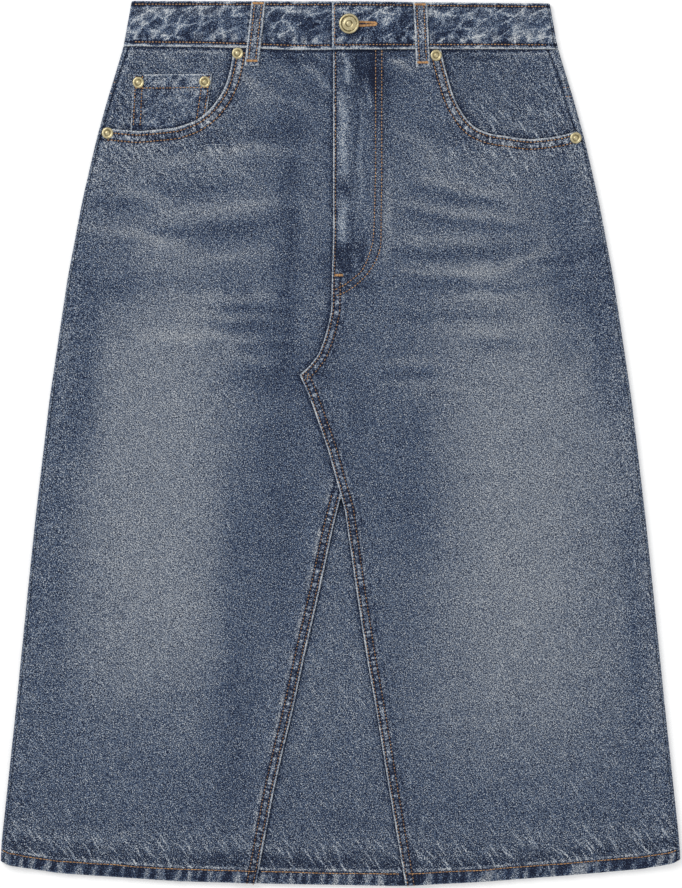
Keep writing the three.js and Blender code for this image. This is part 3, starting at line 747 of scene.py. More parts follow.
class Shading:
    """A material being wired up: makes nodes, links them and sets plain sockets."""

    full_turn = 6.2832

    def __init__(self, name: str) -> None:
        """Starts a node material with one surface shader.

        Args:
            name: the material's name.
        """
        self.material = bpy.data.materials.new(name)
        self.material.use_nodes = True
        self.tree = self.material.node_tree
        self.shader = self.tree.nodes["Principled BSDF"]
        self.place = self.tree.nodes.new("ShaderNodeTexCoord").outputs["Object"]

    def node(self, kind: str, settings: dict[str, object], **inputs: object) -> bpy.types.Node:
        """Adds a node.

        Args:
            kind: the node's type.
            settings: properties of the node.
            inputs: socket names (spaces as underscores) with a value or an output socket.

        Returns:
            The node.
        """
        made = self.tree.nodes.new(kind)
        for key, value in settings.items():
            setattr(made, key, value)
        for key, value in inputs.items():
            self.feed(made.inputs[key.replace("_", " ")], value)
        return made

    def feed(self, socket: Socket, value: object) -> None:
        """Links an output socket, or sets a plain value.

        Args:
            socket: the input that takes it.
            value: an output socket, a number or a tuple.
        """
        if isinstance(value, Socket):
            self.tree.links.new(value, socket)
        else:
            socket.default_value = value

    def math(self, operation: str, *terms: object) -> Socket:
        """A Math node over its terms.

        Args:
            operation: what the node works out.
            terms: numbers or output sockets.

        Returns:
            The result.
        """
        made = self.node("ShaderNodeMath", {"operation": operation})
        for socket, value in zip(made.inputs, terms):
            self.feed(socket, value)
        return made.outputs[0]

    def plus(self, a: object, b: object) -> Socket:
        """a + b."""
        return self.math("ADD", a, b)

    def minus(self, a: object, b: object) -> Socket:
        """a - b."""
        return self.math("SUBTRACT", a, b)

    def times(self, a: object, b: object) -> Socket:
        """a times b."""
        return self.math("MULTIPLY", a, b)

    def clamp(self, value: Socket) -> Socket:
        """The value held between 0 and 1."""
        return self.math("MINIMUM", self.math("MAXIMUM", value, 0.0), 1.0)

    def sum(self, terms: tuple[tuple[Socket, float], ...]) -> Socket:
        """Adds sockets, each times its own gain.

        Args:
            terms: pairs of socket and gain.

        Returns:
            The sum.
        """
        total = self.times(*terms[0])
        for socket, gain in terms[1:]:
            total = self.plus(total, self.times(socket, gain))
        return total

    def attribute(self, name: str) -> Socket:
        """A named number stored on the mesh."""
        return self.node("ShaderNodeAttribute", {"attribute_name": name}).outputs["Fac"]

    def turned(self, turn: float) -> Socket:
        """The object's own coordinates, turned about z by degrees."""
        return self.node("ShaderNodeMapping", {}, Vector=self.place, Rotation=(0, 0, np.radians(turn))).outputs[0]

    def stretched(self, place: Socket, scale: Triple) -> Socket:
        """A place times a scale along each axis."""
        return self.node("ShaderNodeMapping", {}, Vector=place, Scale=scale).outputs[0]

    def warped(self, place: Socket, scale: float, detail: float, reach: Triple
               ) -> Socket:
        """A place moved by noise: place + reach x noise colour.

        Args:
            place: the coordinates.
            scale: scale of the noise.
            detail: octaves of the noise.
            reach: the longest move along each axis.

        Returns:
            The moved coordinates.
        """
        noise = self.node("ShaderNodeTexNoise", {}, Vector=place, Scale=scale, Detail=detail, Roughness=0.5)
        moved = self.node("ShaderNodeVectorMath", {"operation": "MULTIPLY_ADD"})
        for socket, value in zip(moved.inputs, (noise.outputs["Color"], reach, place)):
            self.feed(socket, value)
        return moved.outputs[0]

    def noise(self, scale: Triple, turn: float = 0.0, detail: float = 2.0,
              rough: float = 0.55) -> Socket:
        """Noise about 0, stretched and turned in the plane of the cloth.

        Args:
            scale: lattice cells for each metre along x, y and z.
            turn: degrees about z.
            detail: octaves.
            rough: weight of the finer octaves.

        Returns:
            The noise, about -0.5 to 0.5.
        """
        place = self.stretched(self.turned(turn), scale)
        made = self.node("ShaderNodeTexNoise", {}, Vector=place, Scale=1.0, Detail=detail, Roughness=rough)
        return self.minus(made.outputs[0], 0.5)

    def streaks(self, scale: tuple[float, float], turn: float, size: float) -> Socket:
        """Thin bright dashes, one in each cell of a stretched Voronoi pattern: 1 - distance to its point / size.

        Args:
            scale: cells for each metre along the dashes and across them.
            turn: degrees from the dashes down to the right up to x.
            size: half a dash's length as a share of the cell.

        Returns:
            0 to 1, 1 in the middle of a dash.
        """
        place = self.stretched(self.warped(self.turned(turn), 70.0, 0.0, (0.0, 0.006, 0.0)), (*scale, 1.0))
        cells = self.node("ShaderNodeTexVoronoi", {"voronoi_dimensions": "2D"}, Vector=place, Scale=1.0)
        near = self.math("DIVIDE", cells.outputs["Distance"], size)
        return self.math("MAXIMUM", self.minus(1.0, near), 0.0)

    def net(self, scale: Triple, turn: float) -> Socket:
        """Light veins between dark cells, shown in patches: (1 - distance to the border / 0.24)² x patch - 0.13.

        Args:
            scale: cells for each metre along x, y and z.
            turn: degrees about z.

        Returns:
            -0.13 inside a cell up to 0.87 on a vein.
        """
        place = self.warped(self.stretched(self.turned(turn), scale), 1.3, 2.0, (0.9, 0.9, 0.0))
        cells = self.node("ShaderNodeTexVoronoi", {"feature": "DISTANCE_TO_EDGE"}, Vector=place, Scale=1.0)
        near = self.math("MINIMUM", self.math("DIVIDE", cells.outputs["Distance"], 0.24), 1.0)
        patch = self.clamp(self.times(self.plus(self.noise((90, 60, 90), 20, 1.0), 0.24), 3.2))
        vein = self.math("POWER", self.minus(1.0, near), 2.0)
        return self.minus(self.times(vein, patch), 0.13)

    def bell(self, value: Socket, width: float) -> Socket:
        """A soft bump exp(-(value / width)²)."""
        share = self.math("DIVIDE", value, width)
        return self.math("POWER", 2.718, self.times(self.times(share, share), -1.0))

    def dots(self, at: Socket) -> Socket:
        """0.55 + 0.45 cos(2 pi at): 1 between two stitches, 0.1 in the middle of one."""
        return self.plus(0.55, self.times(0.45, self.math("COSINE", self.times(at, self.full_turn))))

    def ramp(self, value: Socket, stops: Stops
             ) -> Socket:
        """A colour ramp.

        Args:
            value: what picks the colour, 0 to 1.
            stops: pairs of place and display colour.

        Returns:
            The colour.
        """
        made = self.node("ShaderNodeValToRGB", {}, Fac=value)
        band = made.color_ramp
        while len(band.elements) < len(stops):
            band.elements.new(0.5)
        for element, (place, colour) in zip(band.elements, stops):
            element.position = place
            element.color = linear(*colour)
        return made.outputs["Color"]

    def surface(self, **inputs: object) -> None:
        """Sets or links sockets of the surface shader."""
        for key, value in inputs.items():
            self.feed(self.shader.inputs[key.replace("_", " ")], value)


@dataclass(frozen=True)
class DenimFinish:
    """Washed twill: the cloth's fade, painted shade included, picks a blue from raw indigo to bare warp, under grain,
    slubs and creases.
    """

    name: str = "washed_denim"
    grain: float = 0.06
    fine: float = 1.60
    warp: float = 1.02
    weft: float = 1.02
    dash: float = 0.34
    plain_contrast: float = 1.10
    crease_contrast: float = 0.40
    marble_contrast: float = -0.2
    pale_contrast: float = -0.42
    slub: float = 0.12
    mottle: float = 0.04
    crease: float = 0.20
    slash: float = 0.50
    marble: float = 0.64
    blotch: float = 1.05
    # hole and fly_groove set the painted shade in needle holes and in the fly's stitch grooves.
    hole: float = 1.15
    ladder: float = 2.2
    fly_groove: float = -0.40
    fly_half_gauge: float = 2.6
    worn: float = 0.90
    vivid: float = 1.16
    greyer: float = 0.46
    roughness: float = 0.92
    sheen: float = 0.10
    bump: float = 0.45
    blues: Stops = (
        (0.0, (16, 23, 42)),
        (0.12, (43, 56, 82)),
        (0.26, (69, 83, 109)),
        (0.40, (94, 108, 129)),
        (0.55, (121, 133, 150)),
        (0.75, (160, 169, 179)),
        (1.0, (208, 211, 213)),
    )

    def build(self) -> Material:
        """Wires the finish: the ramp's colour at tone + wear x (worn + 0.9 weave - tone), greyer where it is pale.

        Returns:
            The material.
        """
        s = Shading(self.name)
        weave = self.weave(s)
        tone = self.tone(s, weave)
        bare = s.plus(self.worn, s.times(weave, 0.9))
        worn = s.times(s.attribute("wear"), s.minus(bare, tone))
        colour = s.ramp(s.plus(tone, worn), self.blues)
        pale = s.clamp(s.times(s.minus(s.attribute("fade"), 0.18), 3.0))
        pale = s.times(pale, s.minus(1.0, s.attribute("cool")))
        vivid = s.minus(self.vivid, s.times(pale, self.greyer))
        tinted = s.node("ShaderNodeHueSaturation", {}, Color=colour, Saturation=vivid).outputs[0]
        relief = s.node("ShaderNodeBump", {}, Height=weave, Strength=self.bump, Distance=0.0006)
        s.surface(Base_Color=tinted, Roughness=self.roughness, Normal=relief.outputs[0], Sheen_Weight=self.sheen,
                  Sheen_Roughness=0.6, Specular_IOR_Level=0.2)
        return s.material

    def weave(self, s: Shading) -> Socket:
        """The sum of five noises, times plain + crease + marble + pale contrast, each by its own share.

        Args:
            s: the material being wired.

        Returns:
            Tone that the yarns add.
        """
        contrast = s.plus(self.plain_contrast, s.times(s.attribute("crease"), self.crease_contrast))
        contrast = s.plus(contrast, s.times(s.attribute("marble"), self.marble_contrast))
        pale = s.math("MAXIMUM", s.minus(s.attribute("fade"), 0.3), 0.0)
        contrast = s.plus(contrast, s.times(pale, self.pale_contrast))
        return s.times(s.sum((
            (s.noise((640, 600, 40), 12, 1.0, 0.5), self.grain),
            (s.noise((1690, 1580, 40), 33, 0.0), self.fine),
            (s.noise((1665, 872, 40), 1, 0.0), self.warp),
            (s.noise((872, 1665, 40), -1, 0.0), self.weft),
            (s.noise((560, 1450, 40), 53, 0.0), self.dash),
        )), contrast)

    def tone(self, s: Shading, weave: Socket) -> Socket:
        """Tone = fade + weave + slubs + mottle + creases + slashes - painted shade of needle holes + bars + marbling
        - painted shade of fly stitch grooves.

        Args:
            s: the material being wired.
            weave: what the yarns add.

        Returns:
            The tone, 0 raw indigo to 1 bare warp.
        """
        creased, marbled = s.attribute("crease"), s.attribute("marble")
        holes, bars = self.seam(s)
        gap = s.minus(s.math("ABSOLUTE", s.attribute("row_mm")), self.fly_half_gauge)
        return s.sum((
            (weave, 1.0),
            (s.attribute("fade"), 1.0),
            (s.noise((800, 60, 400), 1, 2.0), self.slub),
            (s.noise((170, 130, 100), 20, 3.0, 0.6), self.mottle),
            (s.times(s.streaks((70, 380), 50, 0.5), creased), self.crease),
            (s.times(s.streaks((26, 250), 54, 0.27), s.math("POWER", creased, 2.0)), self.slash),
            # Painted shade of the needle holes.
            (holes, -self.hole),
            (bars, self.ladder),
            (s.times(s.net((62, 112, 90), -30), marbled), self.marble),
            (s.times(s.noise((50, 120, 120), -33, 2.0, 0.6), marbled), self.blotch),
            # Painted shade of the fly's stitch grooves.
            (s.times(s.bell(gap, 1.1), s.dots(s.attribute("row_at"))), self.fly_groove),
        ))

    @staticmethod
    def seam(s: Shading) -> tuple[Socket, Socket]:
        """What the rows of a sewn edge do: needle holes on both rows darkened with painted shade, and short bars
        across the folded cloth.

        Args:
            s: the material being wired.

        Returns:
            The holes and the bars, both 0 where nothing is sewn.
        """
        near, far, at = s.attribute("near_mm"), s.attribute("far_mm"), s.attribute("sewn_at")
        rows = s.plus(s.bell(near, 0.85), s.bell(far, 0.85))
        holes = s.times(s.times(rows, s.dots(at)), s.attribute("sewn"))
        place = s.node("ShaderNodeCombineXYZ", {}, X=at, Y=s.times(near, 0.09)).outputs[0]
        ladder = s.node("ShaderNodeTexNoise", {}, Vector=place, Scale=1.15, Detail=1.0, Roughness=0.5).outputs[0]
        width = s.bell(s.minus(near, 2.8), 4.0)
        bars = s.times(s.minus(ladder, 0.5), s.times(width, s.attribute("ladder")))
        return holes, bars


@dataclass(frozen=True)
class ThreadFinish:
    """Spun topstitch thread: a tan that varies from stitch to stitch, with the ply's twist as bump."""

    name: str
    dark: Triple
    pale: Triple

    def build(self) -> Material:
        """Wires the finish: the stitch's own tint + 0.7 noise picks between the two tans.

        Returns:
            The material.
        """
        s = Shading(self.name)
        fuzz = s.noise((2600, 2600, 2600), 0, 1.0)
        value = s.plus(s.attribute("tint"), s.times(fuzz, 0.7))
        relief = s.node("ShaderNodeBump", {}, Height=fuzz, Strength=0.5, Distance=0.0002)
        s.surface(Base_Color=s.ramp(value, ((0.0, self.dark), (1.0, self.pale))), Roughness=0.7,
                  Normal=relief.outputs[0], Sheen_Weight=0.2)
        return s.material


@dataclass(frozen=True)
class BrassFinish:
    """Pale satin brass, brighter and duller in patches, with a dull tint in the grooves."""

    name: str = "pale_brass"
    roughness: float = 0.34

    def build(self) -> Material:
        """Wires the finish: 0.62 + 0.9 patches + 0.35 scratches + tint picks between dull and bright metal.

        Returns:
            The material.
        """
        s = Shading(self.name)
        patch = s.noise((420, 420, 420), 0, 3.0)
        scratch = s.noise((5200, 500, 900), 31, 2.0)
        value = s.plus(0.62, s.plus(s.times(patch, 0.9), s.times(scratch, 0.35)))
        value = s.plus(value, s.attribute("tint"))
        colour = s.ramp(value, ((0.0, (84, 72, 46)), (0.5, (190, 177, 136)), (1.0, (230, 220, 186))))
        relief = s.node("ShaderNodeBump", {}, Height=scratch, Strength=0.12, Distance=0.0001)
        s.surface(Base_Color=colour, Metallic=0.85, Roughness=self.roughness, Normal=relief.outputs[0])
        return s.material


def dress(piece: Piece, material: Material) -> Piece:
    """Gives a piece its material and slot, lets it ride on the skirt and reports it.

    Args:
        piece: the object.
        material: what it is made of.

    Returns:
        The same object.
    """
    piece.data.materials.append(material)
    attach(piece, "root")
    LOG.info("%s: %d faces", piece.name, len(piece.data.polygons))
    return piece


def grid_lines(near: tuple[float, ...], far: tuple[float, ...], count: int) -> tuple[Array, Array]:
    """Grid lines between two edges: close together beside them, even between.

    Args:
        near: offsets inward from the first edge, rising from 0.
        far: offsets inward from the last edge, rising from 0.
        count: even steps between the innermost of both.

    Returns:
        Share and shift of each line: it runs at mix(first, last, share) + shift.
    """
    body = np.linspace(0, 1, count + 1)[1:-1]
    share = np.concatenate([np.zeros(len(near)), body, np.ones(len(far))])
    shift = np.concatenate([near, near[-1] * (1 - body) - far[-1] * body, -np.array(far[::-1])])
    return share, shift


def grid_between(left: Callable, right: Callable, top: Callable, bottom: Callable, columns: tuple[Array, Array],
                 rows: tuple[Array, Array]) -> tuple[Array, Array]:
    """A grid that follows four edges, left and right given by down, top and bottom by x.

    Args:
        left: x of the left edge.
        right: x of the right edge.
        top: down of the top edge.
        bottom: down of the bottom edge.
        columns: share and shift of the columns.
        rows: share and shift of the rows.

    Returns:
        x and down, shaped (rows, columns).
    """
    x = np.zeros((len(rows[0]), len(columns[0])))
    for _ in range(5):
        down = mix(top(x), bottom(x), rows[0][:, None]) + rows[1][:, None]
        x = mix(left(down), right(down), columns[0]) + columns[1]
    return x, down


EDGE_LINES = (0.0, 0.12, 0.3, 0.55, 0.9, 1.3, 1.9, 2.6, 3.4, 4.4, 5.5, 6.4, 7.1, 7.8, 8.8, 10.2, 12.0)
PLAIN_LINES = (0.0, 0.3, 0.8, 1.6, 2.8, 4.6)
HEM_LINES = (0.0, 0.12, 0.35, 0.7, 1.2, 2.0, 3.2, 4.6, 6.2, 7.8, 9.0, 9.8, 10.5, 11.3, 12.4, 14.0)
FACING_LINES = (0.0, 0.4, 1.0, 2.0)
TOP_LINES = (0.0, 0.4, 0.9, 1.5, 2.2, 3.0, 4.0, 5.2)


@dataclass(frozen=True)
class Edge:
    """A folded edge held by rows of stitches: what it adds to tone, wear and height by the distance from it."""

    rows: tuple[float, ...] = (NEAR_ROW, FAR_ROW)
    worn: float = 0.85
    line: float = 1.35
    groove: float = 0.0
    ridge: float = 4.0
    rope: float = 14.0
    halo: float = 26.0
    fold_shadow: float = 0.0
    lift: float = 0.45
    seed: int = 31

    def tone(self, off: Array, along: Array) -> Array:
        """Ropes and a light ridge inside the outer row, a dark line of unfaded indigo and painted groove shade on
        each row, patches of wear beyond, then a painted shadow of the seam's inner fold.

        Args:
            off: distance from the edge.
            along: arc length along it.

        Returns:
            Brightness added.
        """
        # Dark lines on the rows, as groove or as shade: unfaded indigo with painted shade of the stitch grooves.
        grooves = sum(bell(off, row + 0.1, 1.1) for row in self.rows)
        ridge = fade(off, self.rows[-1] - 0.8, self.rows[-1] + 1.0)
        shade = 30 * bell(off, self.rows[0] + 0.2, 1.2) + 30 * bell(off, self.rows[-1] + 0.2, 1.3)
        ropes = Wash.ropes_at(along + 53 * self.seed, off, self.rows[-1] + 5, self.rope)
        patch = np.clip(0.5 + Grain(self.seed + 4)(along + 0.6 * off, off, 6.0, 5.0), 0, 1)
        beyond = self.halo * patch * bell(off, self.rows[-1] + 2.3, 1.5)
        # A painted shadow of the seam's inner fold, past the outer row.
        beyond = beyond - self.fold_shadow * (0.6 + 0.8 * (1 - patch)) * bell(off, self.rows[-1] + 4.4, 1.2)
        return ropes + self.ridge * ridge + beyond - self.groove * grooves - (0 if self.groove else shade)

    def sewn(self, off: Array, along: Array, start: float, pitch: float = STITCH_PITCH) -> dict[str, Array]:
        """Numbers that the finish needs for the needle holes: distances to both rows and stitches counted along.

        Args:
            off: distance from the edge.
            along: arc length along it.
            start: where the first stitch starts.
            pitch: from one stitch to the next.

        Returns:
            The named numbers.
        """
        count = (along - start) / pitch + 37 * self.seed
        return {"near_mm": off - self.rows[0], "far_mm": off - self.rows[-1], "sewn_at": count,
                "sewn": np.ones(np.shape(off)), "ladder": np.ones(np.shape(off))}

    def wear(self, off: Array, along: Array) -> Array:
        """The white line of the very edge, thinner and thicker along it.

        Args:
            off: distance from the edge.
            along: arc length along it.

        Returns:
            The share that is worn bare, up to 1.
        """
        patch = Grain(self.seed + 1)(along, off, 3.3, 2.4) + 0.7 * Grain(self.seed + 3)(along, off, 11, 5)
        width = self.line * (1.25 + 0.45 * patch)
        return self.worn * fade(off, width * 0.35, width) * np.clip(0.95 + 0.25 * patch, 0, 1.2)

    def rise(self, off: Array, along: Array) -> Array:
        """Folded layers up to the outer row, puckered along it, with a channel on each row.

        Args:
            off: distance from the edge.
            along: arc length along it.

        Returns:
            Height added.
        """
        pucker = Grain(self.seed + 2)(along + 0.5 * off, off, 5.5, 8)
        body = fade(off, self.rows[-1], self.rows[-1] + 2.5)
        channel = sum(bell(off, row, 0.8) for row in self.rows)
        return self.lift * body * (1 + 0.45 * pucker) - 0.2 * channel


def to_fade_and_shade(brightness: Array) -> Array:
    """Brightness, painted shade included, as fade: (brightness - darkest) / span, less what the grain's light specks
    add.
    """
    return (brightness - Wash.darkest) / Wash.span - 0.074


@dataclass(frozen=True)
class FrontPanel:
    """A front panel, from its side seam to its folded, twin-stitched edge at the centre, with a turned-up hem."""

    name: str
    side: int
    spacing: float = 2.3
    lap: Edge = Edge()
    hem: Edge = Edge(rows=(9.9,), worn=0.35, line=1.1, groove=46, ridge=2, rope=0, halo=0, lift=HEM_EXTRA, seed=51)

    @property
    def node(self) -> str:
        """The solid that this piece stands for."""
        return "front_left" if self.side < 0 else "front_right"

    def lapped(self) -> Path:
        """The folded edge at the centre."""
        down = np.arange(Cut.waist(0) if self.side > 0 else LEFT_FOLD_FROM, PAST_HEM, 1.0)
        return trace(Cut.centre(down) if self.side > 0 else Cut.gusset(down), down)

    def mouth(self) -> Path:
        """The pocket mouth cut into this panel."""
        return Cut.mouth_left if self.side < 0 else Cut.mouth_right

    def under(self, x: Array, down: Array) -> Array:
        """Height of the panel's underside."""
        return Lie.left_panel(x, down) if self.side < 0 else Lie.right_panel(x, down)

    def from_hem(self, x: Array, down: Array) -> Array:
        """Distance from the hem's fold."""
        return np.maximum(Cut.hem(x) - down, 0)

    def surface(self, x: Array, down: Array) -> Array:
        """Height of the panel's face: cloth, folded layers at the centre edge and hem, both edges rolled over.

        Args:
            x, down: the points.

        Returns:
            Heights.
        """
        off, along = self.lapped().distance(x, down, step=12)
        off = np.abs(off)
        low = self.from_hem(x, down)
        seam = np.abs(x - Cut.side_seam(self.side, down))
        raised = self.lap.rise(off, along) + self.hem.rise(low, x)
        edges = rolled(off) + rolled(low, 0.9) + rolled(seam, 0.6)
        return self.under(x, down) + WALL + raised - edges

    def tone(self, x: Array, down: Array) -> Array:
        """Brightness of the panel: the wash, its seams, and the painted shade beside what lies over it.

        Args:
            x, down: the points.

        Returns:
            Brightness, 0 to 255.
        """
        off, along = self.lapped().distance(x, down, step=12)
        low = self.from_hem(x, down)
        seam = np.abs(x - Cut.side_seam(self.side, down))
        lap = self.lap.tone(np.abs(off), along)
        # Above the twin rows, only a dark line on the single row: unfaded indigo with painted shade of its groove.
        if self.side > 0:
            lap = mix(lap, -26 * bell(off, -self.lap.rows[0] - 0.2, 1.3), fade(down, 222, 232))
        tone = Wash.brightness(x, down) + lap + self.hem.tone(low, x)
        # Painted shadow of the waistband's lower edge, just under the waist seam.
        tone = tone + Wash.hem_tone(low, x) - 62 * bell(down - Cut.waist(x), 1.0, 1.3)
        tone = tone + 24 * bell(down - Cut.waist(x), 3.9, 1.2) * (0.8 + 0.6 * Wash.ropes(x, down, 9, 8))
        tone = tone + Wash.side_tone(seam, down)
        if self.side < 0:
            # Painted shadow of the right panel's folded edge on the left panel beside it.
            beyond = np.maximum(Cut.centre(down) - x, 0)
            shade = 38 * fade(beyond, 0.5, 2.4) + 12 * fade(beyond, 2, 7)
            tone = tone + (Wash.ropes_at(down + 300, beyond, 15, 13) - shade) * (down < LEFT_ROWS_FROM)
        return tone

    def kept(self, x: Array, down: Array) -> Array:
        """Cells of cloth: all but the pocket's corner, which is cut away under the mouth's strip.

        Args:
            x, down: the points.

        Returns:
            True for each cell that stays.
        """
        inside, _ = self.mouth().distance(x, down, step=6)
        keep = np.minimum.reduce(corners(inside * self.side)) > 2.2
        return keep | (down[:-1, :-1] > POCKET_BELOW) | (np.abs(x[:-1, :-1]) < POCKET_BESIDE)

    def numbers(self, x: Array, down: Array) -> dict[str, Array | float]:
        """What the finish reads: fade with painted shade, wear, creases, the fly's rows and the sewn rows of the
        folded edge.

        Args:
            x, down: the points.

        Returns:
            The named numbers.
        """
        off, along = self.lapped().distance(x, down, step=6)
        seam = np.abs(x - Cut.side_seam(self.side, down))
        fly, fly_at = Fly.middle.distance(x, down, step=6)
        values = {
            "fade": to_fade_and_shade(self.tone(x, down)),
            "wear": np.maximum.reduce([
                self.lap.wear(np.abs(off), along),
                self.hem.wear(self.from_hem(x, down), x),
                0.40 * bell(seam, 3.0, 0.8) * fade(down, 112, 150),
            ]),
            "cool": fade(np.abs(x - 6), 16, 30) * fade(down, 215, 240),
            "crease": crease_where(x, down),
            "row_mm": fly if self.side > 0 else NO_ROW,
            "row_at": (fly_at - FLY_FIRST) / STITCH_PITCH,
        }
        values |= self.lap.sewn(np.abs(off), along, 1.5 if self.side > 0 else 16.0)
        if self.side > 0:
            values["far_mm"] = values["far_mm"] + NO_ROW * (down < TWIN_ROWS_FROM)
            values["ladder"] = 0.15 + 0.85 * (down > TWIN_ROWS_FROM)
        else:
            values["sewn"] = values["ladder"] = 1.0 * (down > LEFT_ROWS_FROM)
        return values

    def build(self, denim: Material) -> Piece:
        """Builds the panel with its pocket corner cut away under the mouth's strip.

        Args:
            denim: the cloth's material.

        Returns:
            The panel.
        """
        edges = (lambda d: Cut.side_seam(self.side, d) - self.side * SEAM_GAP,
                 Cut.left_panel_edge if self.side < 0 else Cut.centre)
        near, far = (PLAIN_LINES, EDGE_LINES) if self.side < 0 else (EDGE_LINES, PLAIN_LINES)
        left, right = edges if self.side < 0 else edges[::-1]
        columns = grid_lines(near, far, int(215 / self.spacing))
        rows = grid_lines(TOP_LINES, HEM_LINES, int(676 / self.spacing))
        x, down = grid_between(left, right, lambda v: Cut.waist(v) + SEAM_GAP, Cut.hem, columns, rows)
        outer = to_xyz(x, down, self.surface(x, down))
        inner = below(outer, x, down, self.under(x, down))
        piece = shell(self.name, outer, inner, self.numbers(x, down), self.kept(x, down))
        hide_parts(self.node)
        return dress(piece, denim)


def crease_where(x: Array, down: Array) -> Array:
    """How strongly fine diagonal creases show: most by the hem and under the pockets.

    Args:
        x: x of the points.
        down: down of the points.

    Returns:
        The share, about 0.3 to 1.2.
    """
    hem = 0.72 * fade(Cut.hem(x) - down, 14, 58) + 0.2 * fade(Cut.hem(x) - down, 50, 200)
    pocket = bell(down, 124, 30) * (1 - fade(np.abs(x), 55, 95))
    return (0.35 + hem) * (1 - fade(Cut.hem(x) - down, 9.5, 12)) + 0.6 * pocket


class Fly:
    """The two curved rows that hold the fly."""

    outer_row = Path(from_photo(((381.7, 50), (381.7, 173), (380.9, 239), (380.4, 249), (376.2, 260.6),
                                 (367.9, 273.8), (356.3, 285.4), (344.7, 292.9), (334.6, 296.7))), soften=8)
    inner_row = Path(from_photo(((375.6, 50), (375.6, 173), (374.2, 222), (372.9, 242), (367.9, 259), (361.3, 272),
                                 (353, 279), (343, 286.3), (334.8, 290.2))), soften=8)
    middle = Path(from_photo(((378.6, 45), (378.6, 173), (377.6, 232), (376.6, 246), (372, 260), (364.6, 273),
                              (354.6, 282.3), (343.8, 289.7), (334, 293.7))), soften=8)


@dataclass(frozen=True)
class PocketMouth:
    """The folded edge of a pocket mouth: a strip along the mouth, two stitch rows deep, that melts into its panel."""

    name: str
    panel: FrontPanel
    edge: Edge
    frayed_at: float = 122
    frayed_over: float = 34
    width: float = 14.5

    def spot(self, along: Array, off: Array) -> tuple[Array, Array]:
        """x and down at an arc length and a distance inside the panel."""
        place = self.panel.mouth().at(along, self.panel.side * off)
        return place[..., 0], place[..., 1]

    def surface(self, x: Array, down: Array) -> Array:
        """Height of the strip's face: raised inside the outer row, sunk into the panel past it.

        Args:
            x, down: the points.

        Returns:
            Heights.
        """
        off, along = self.panel.mouth().distance(x, down, step=4)
        off = np.abs(off)
        sunk = 0.5 * (1 - fade(off, self.edge.rows[-1] + 0.8, self.width - 0.5))
        return self.panel.under(x, down) + WALL + self.edge.rise(off, along) - rolled(off, 0.9) - sunk

    def build(self, denim: Material) -> Piece:
        """Builds the strip from the waistband to the side seam.

        Args:
            denim: the cloth's material.

        Returns:
            The strip.
        """
        offsets = np.array(EDGE_LINES + (self.width,))
        dense = np.arange(0, self.panel.mouth().length, 0.25)
        x, down = self.spot(dense[:, None], offsets)
        seam = np.abs(Cut.side_seam(self.panel.side, down))
        inside = (down > Cut.waist(x) + SEAM_GAP) & (np.abs(x) < seam - SEAM_GAP)
        first = dense[inside.argmax(axis=0)]
        last = dense[len(dense) - 1 - inside[::-1].argmax(axis=0)]
        share = np.linspace(0, 1, int(self.panel.mouth().length / 1.1))[:, None]
        along = mix(first, last, share)
        x, down = self.spot(along, np.broadcast_to(offsets, along.shape))
        outer = to_xyz(x, down, self.surface(x, down))
        thick = mix(0.45, WALL, fade(offsets, 1.8, 3.2)) - rolled(offsets, 0.9)
        inner = outer - np.array([0, 0, 1]) * np.maximum(thick, THINNEST)[:, None]
        tone = self.panel.tone(x, down) + self.edge.tone(offsets, along)
        fly, fly_at = Fly.middle.distance(x, down, step=6)
        frayed = bell(along, self.frayed_at, self.frayed_over) * fade(offsets, 1.2, 3.6)
        patch = np.clip(Grain(77)(along, offsets, 2.3, 1.6) + 0.15, 0, 1)
        values = {
            "fade": to_fade_and_shade(tone),
            "wear": np.maximum(self.edge.wear(offsets, along), 0.8 * frayed * patch),
            "crease": crease_where(x, down),
            "row_mm": fly,
            "row_at": (fly_at - FLY_FIRST) / STITCH_PITCH,
        }
        values |= self.edge.sewn(np.broadcast_to(offsets, along.shape), along, 7.0)
        piece = shell(self.name, outer, inner, values, flip=self.panel.side > 0)
        return dress(piece, denim)


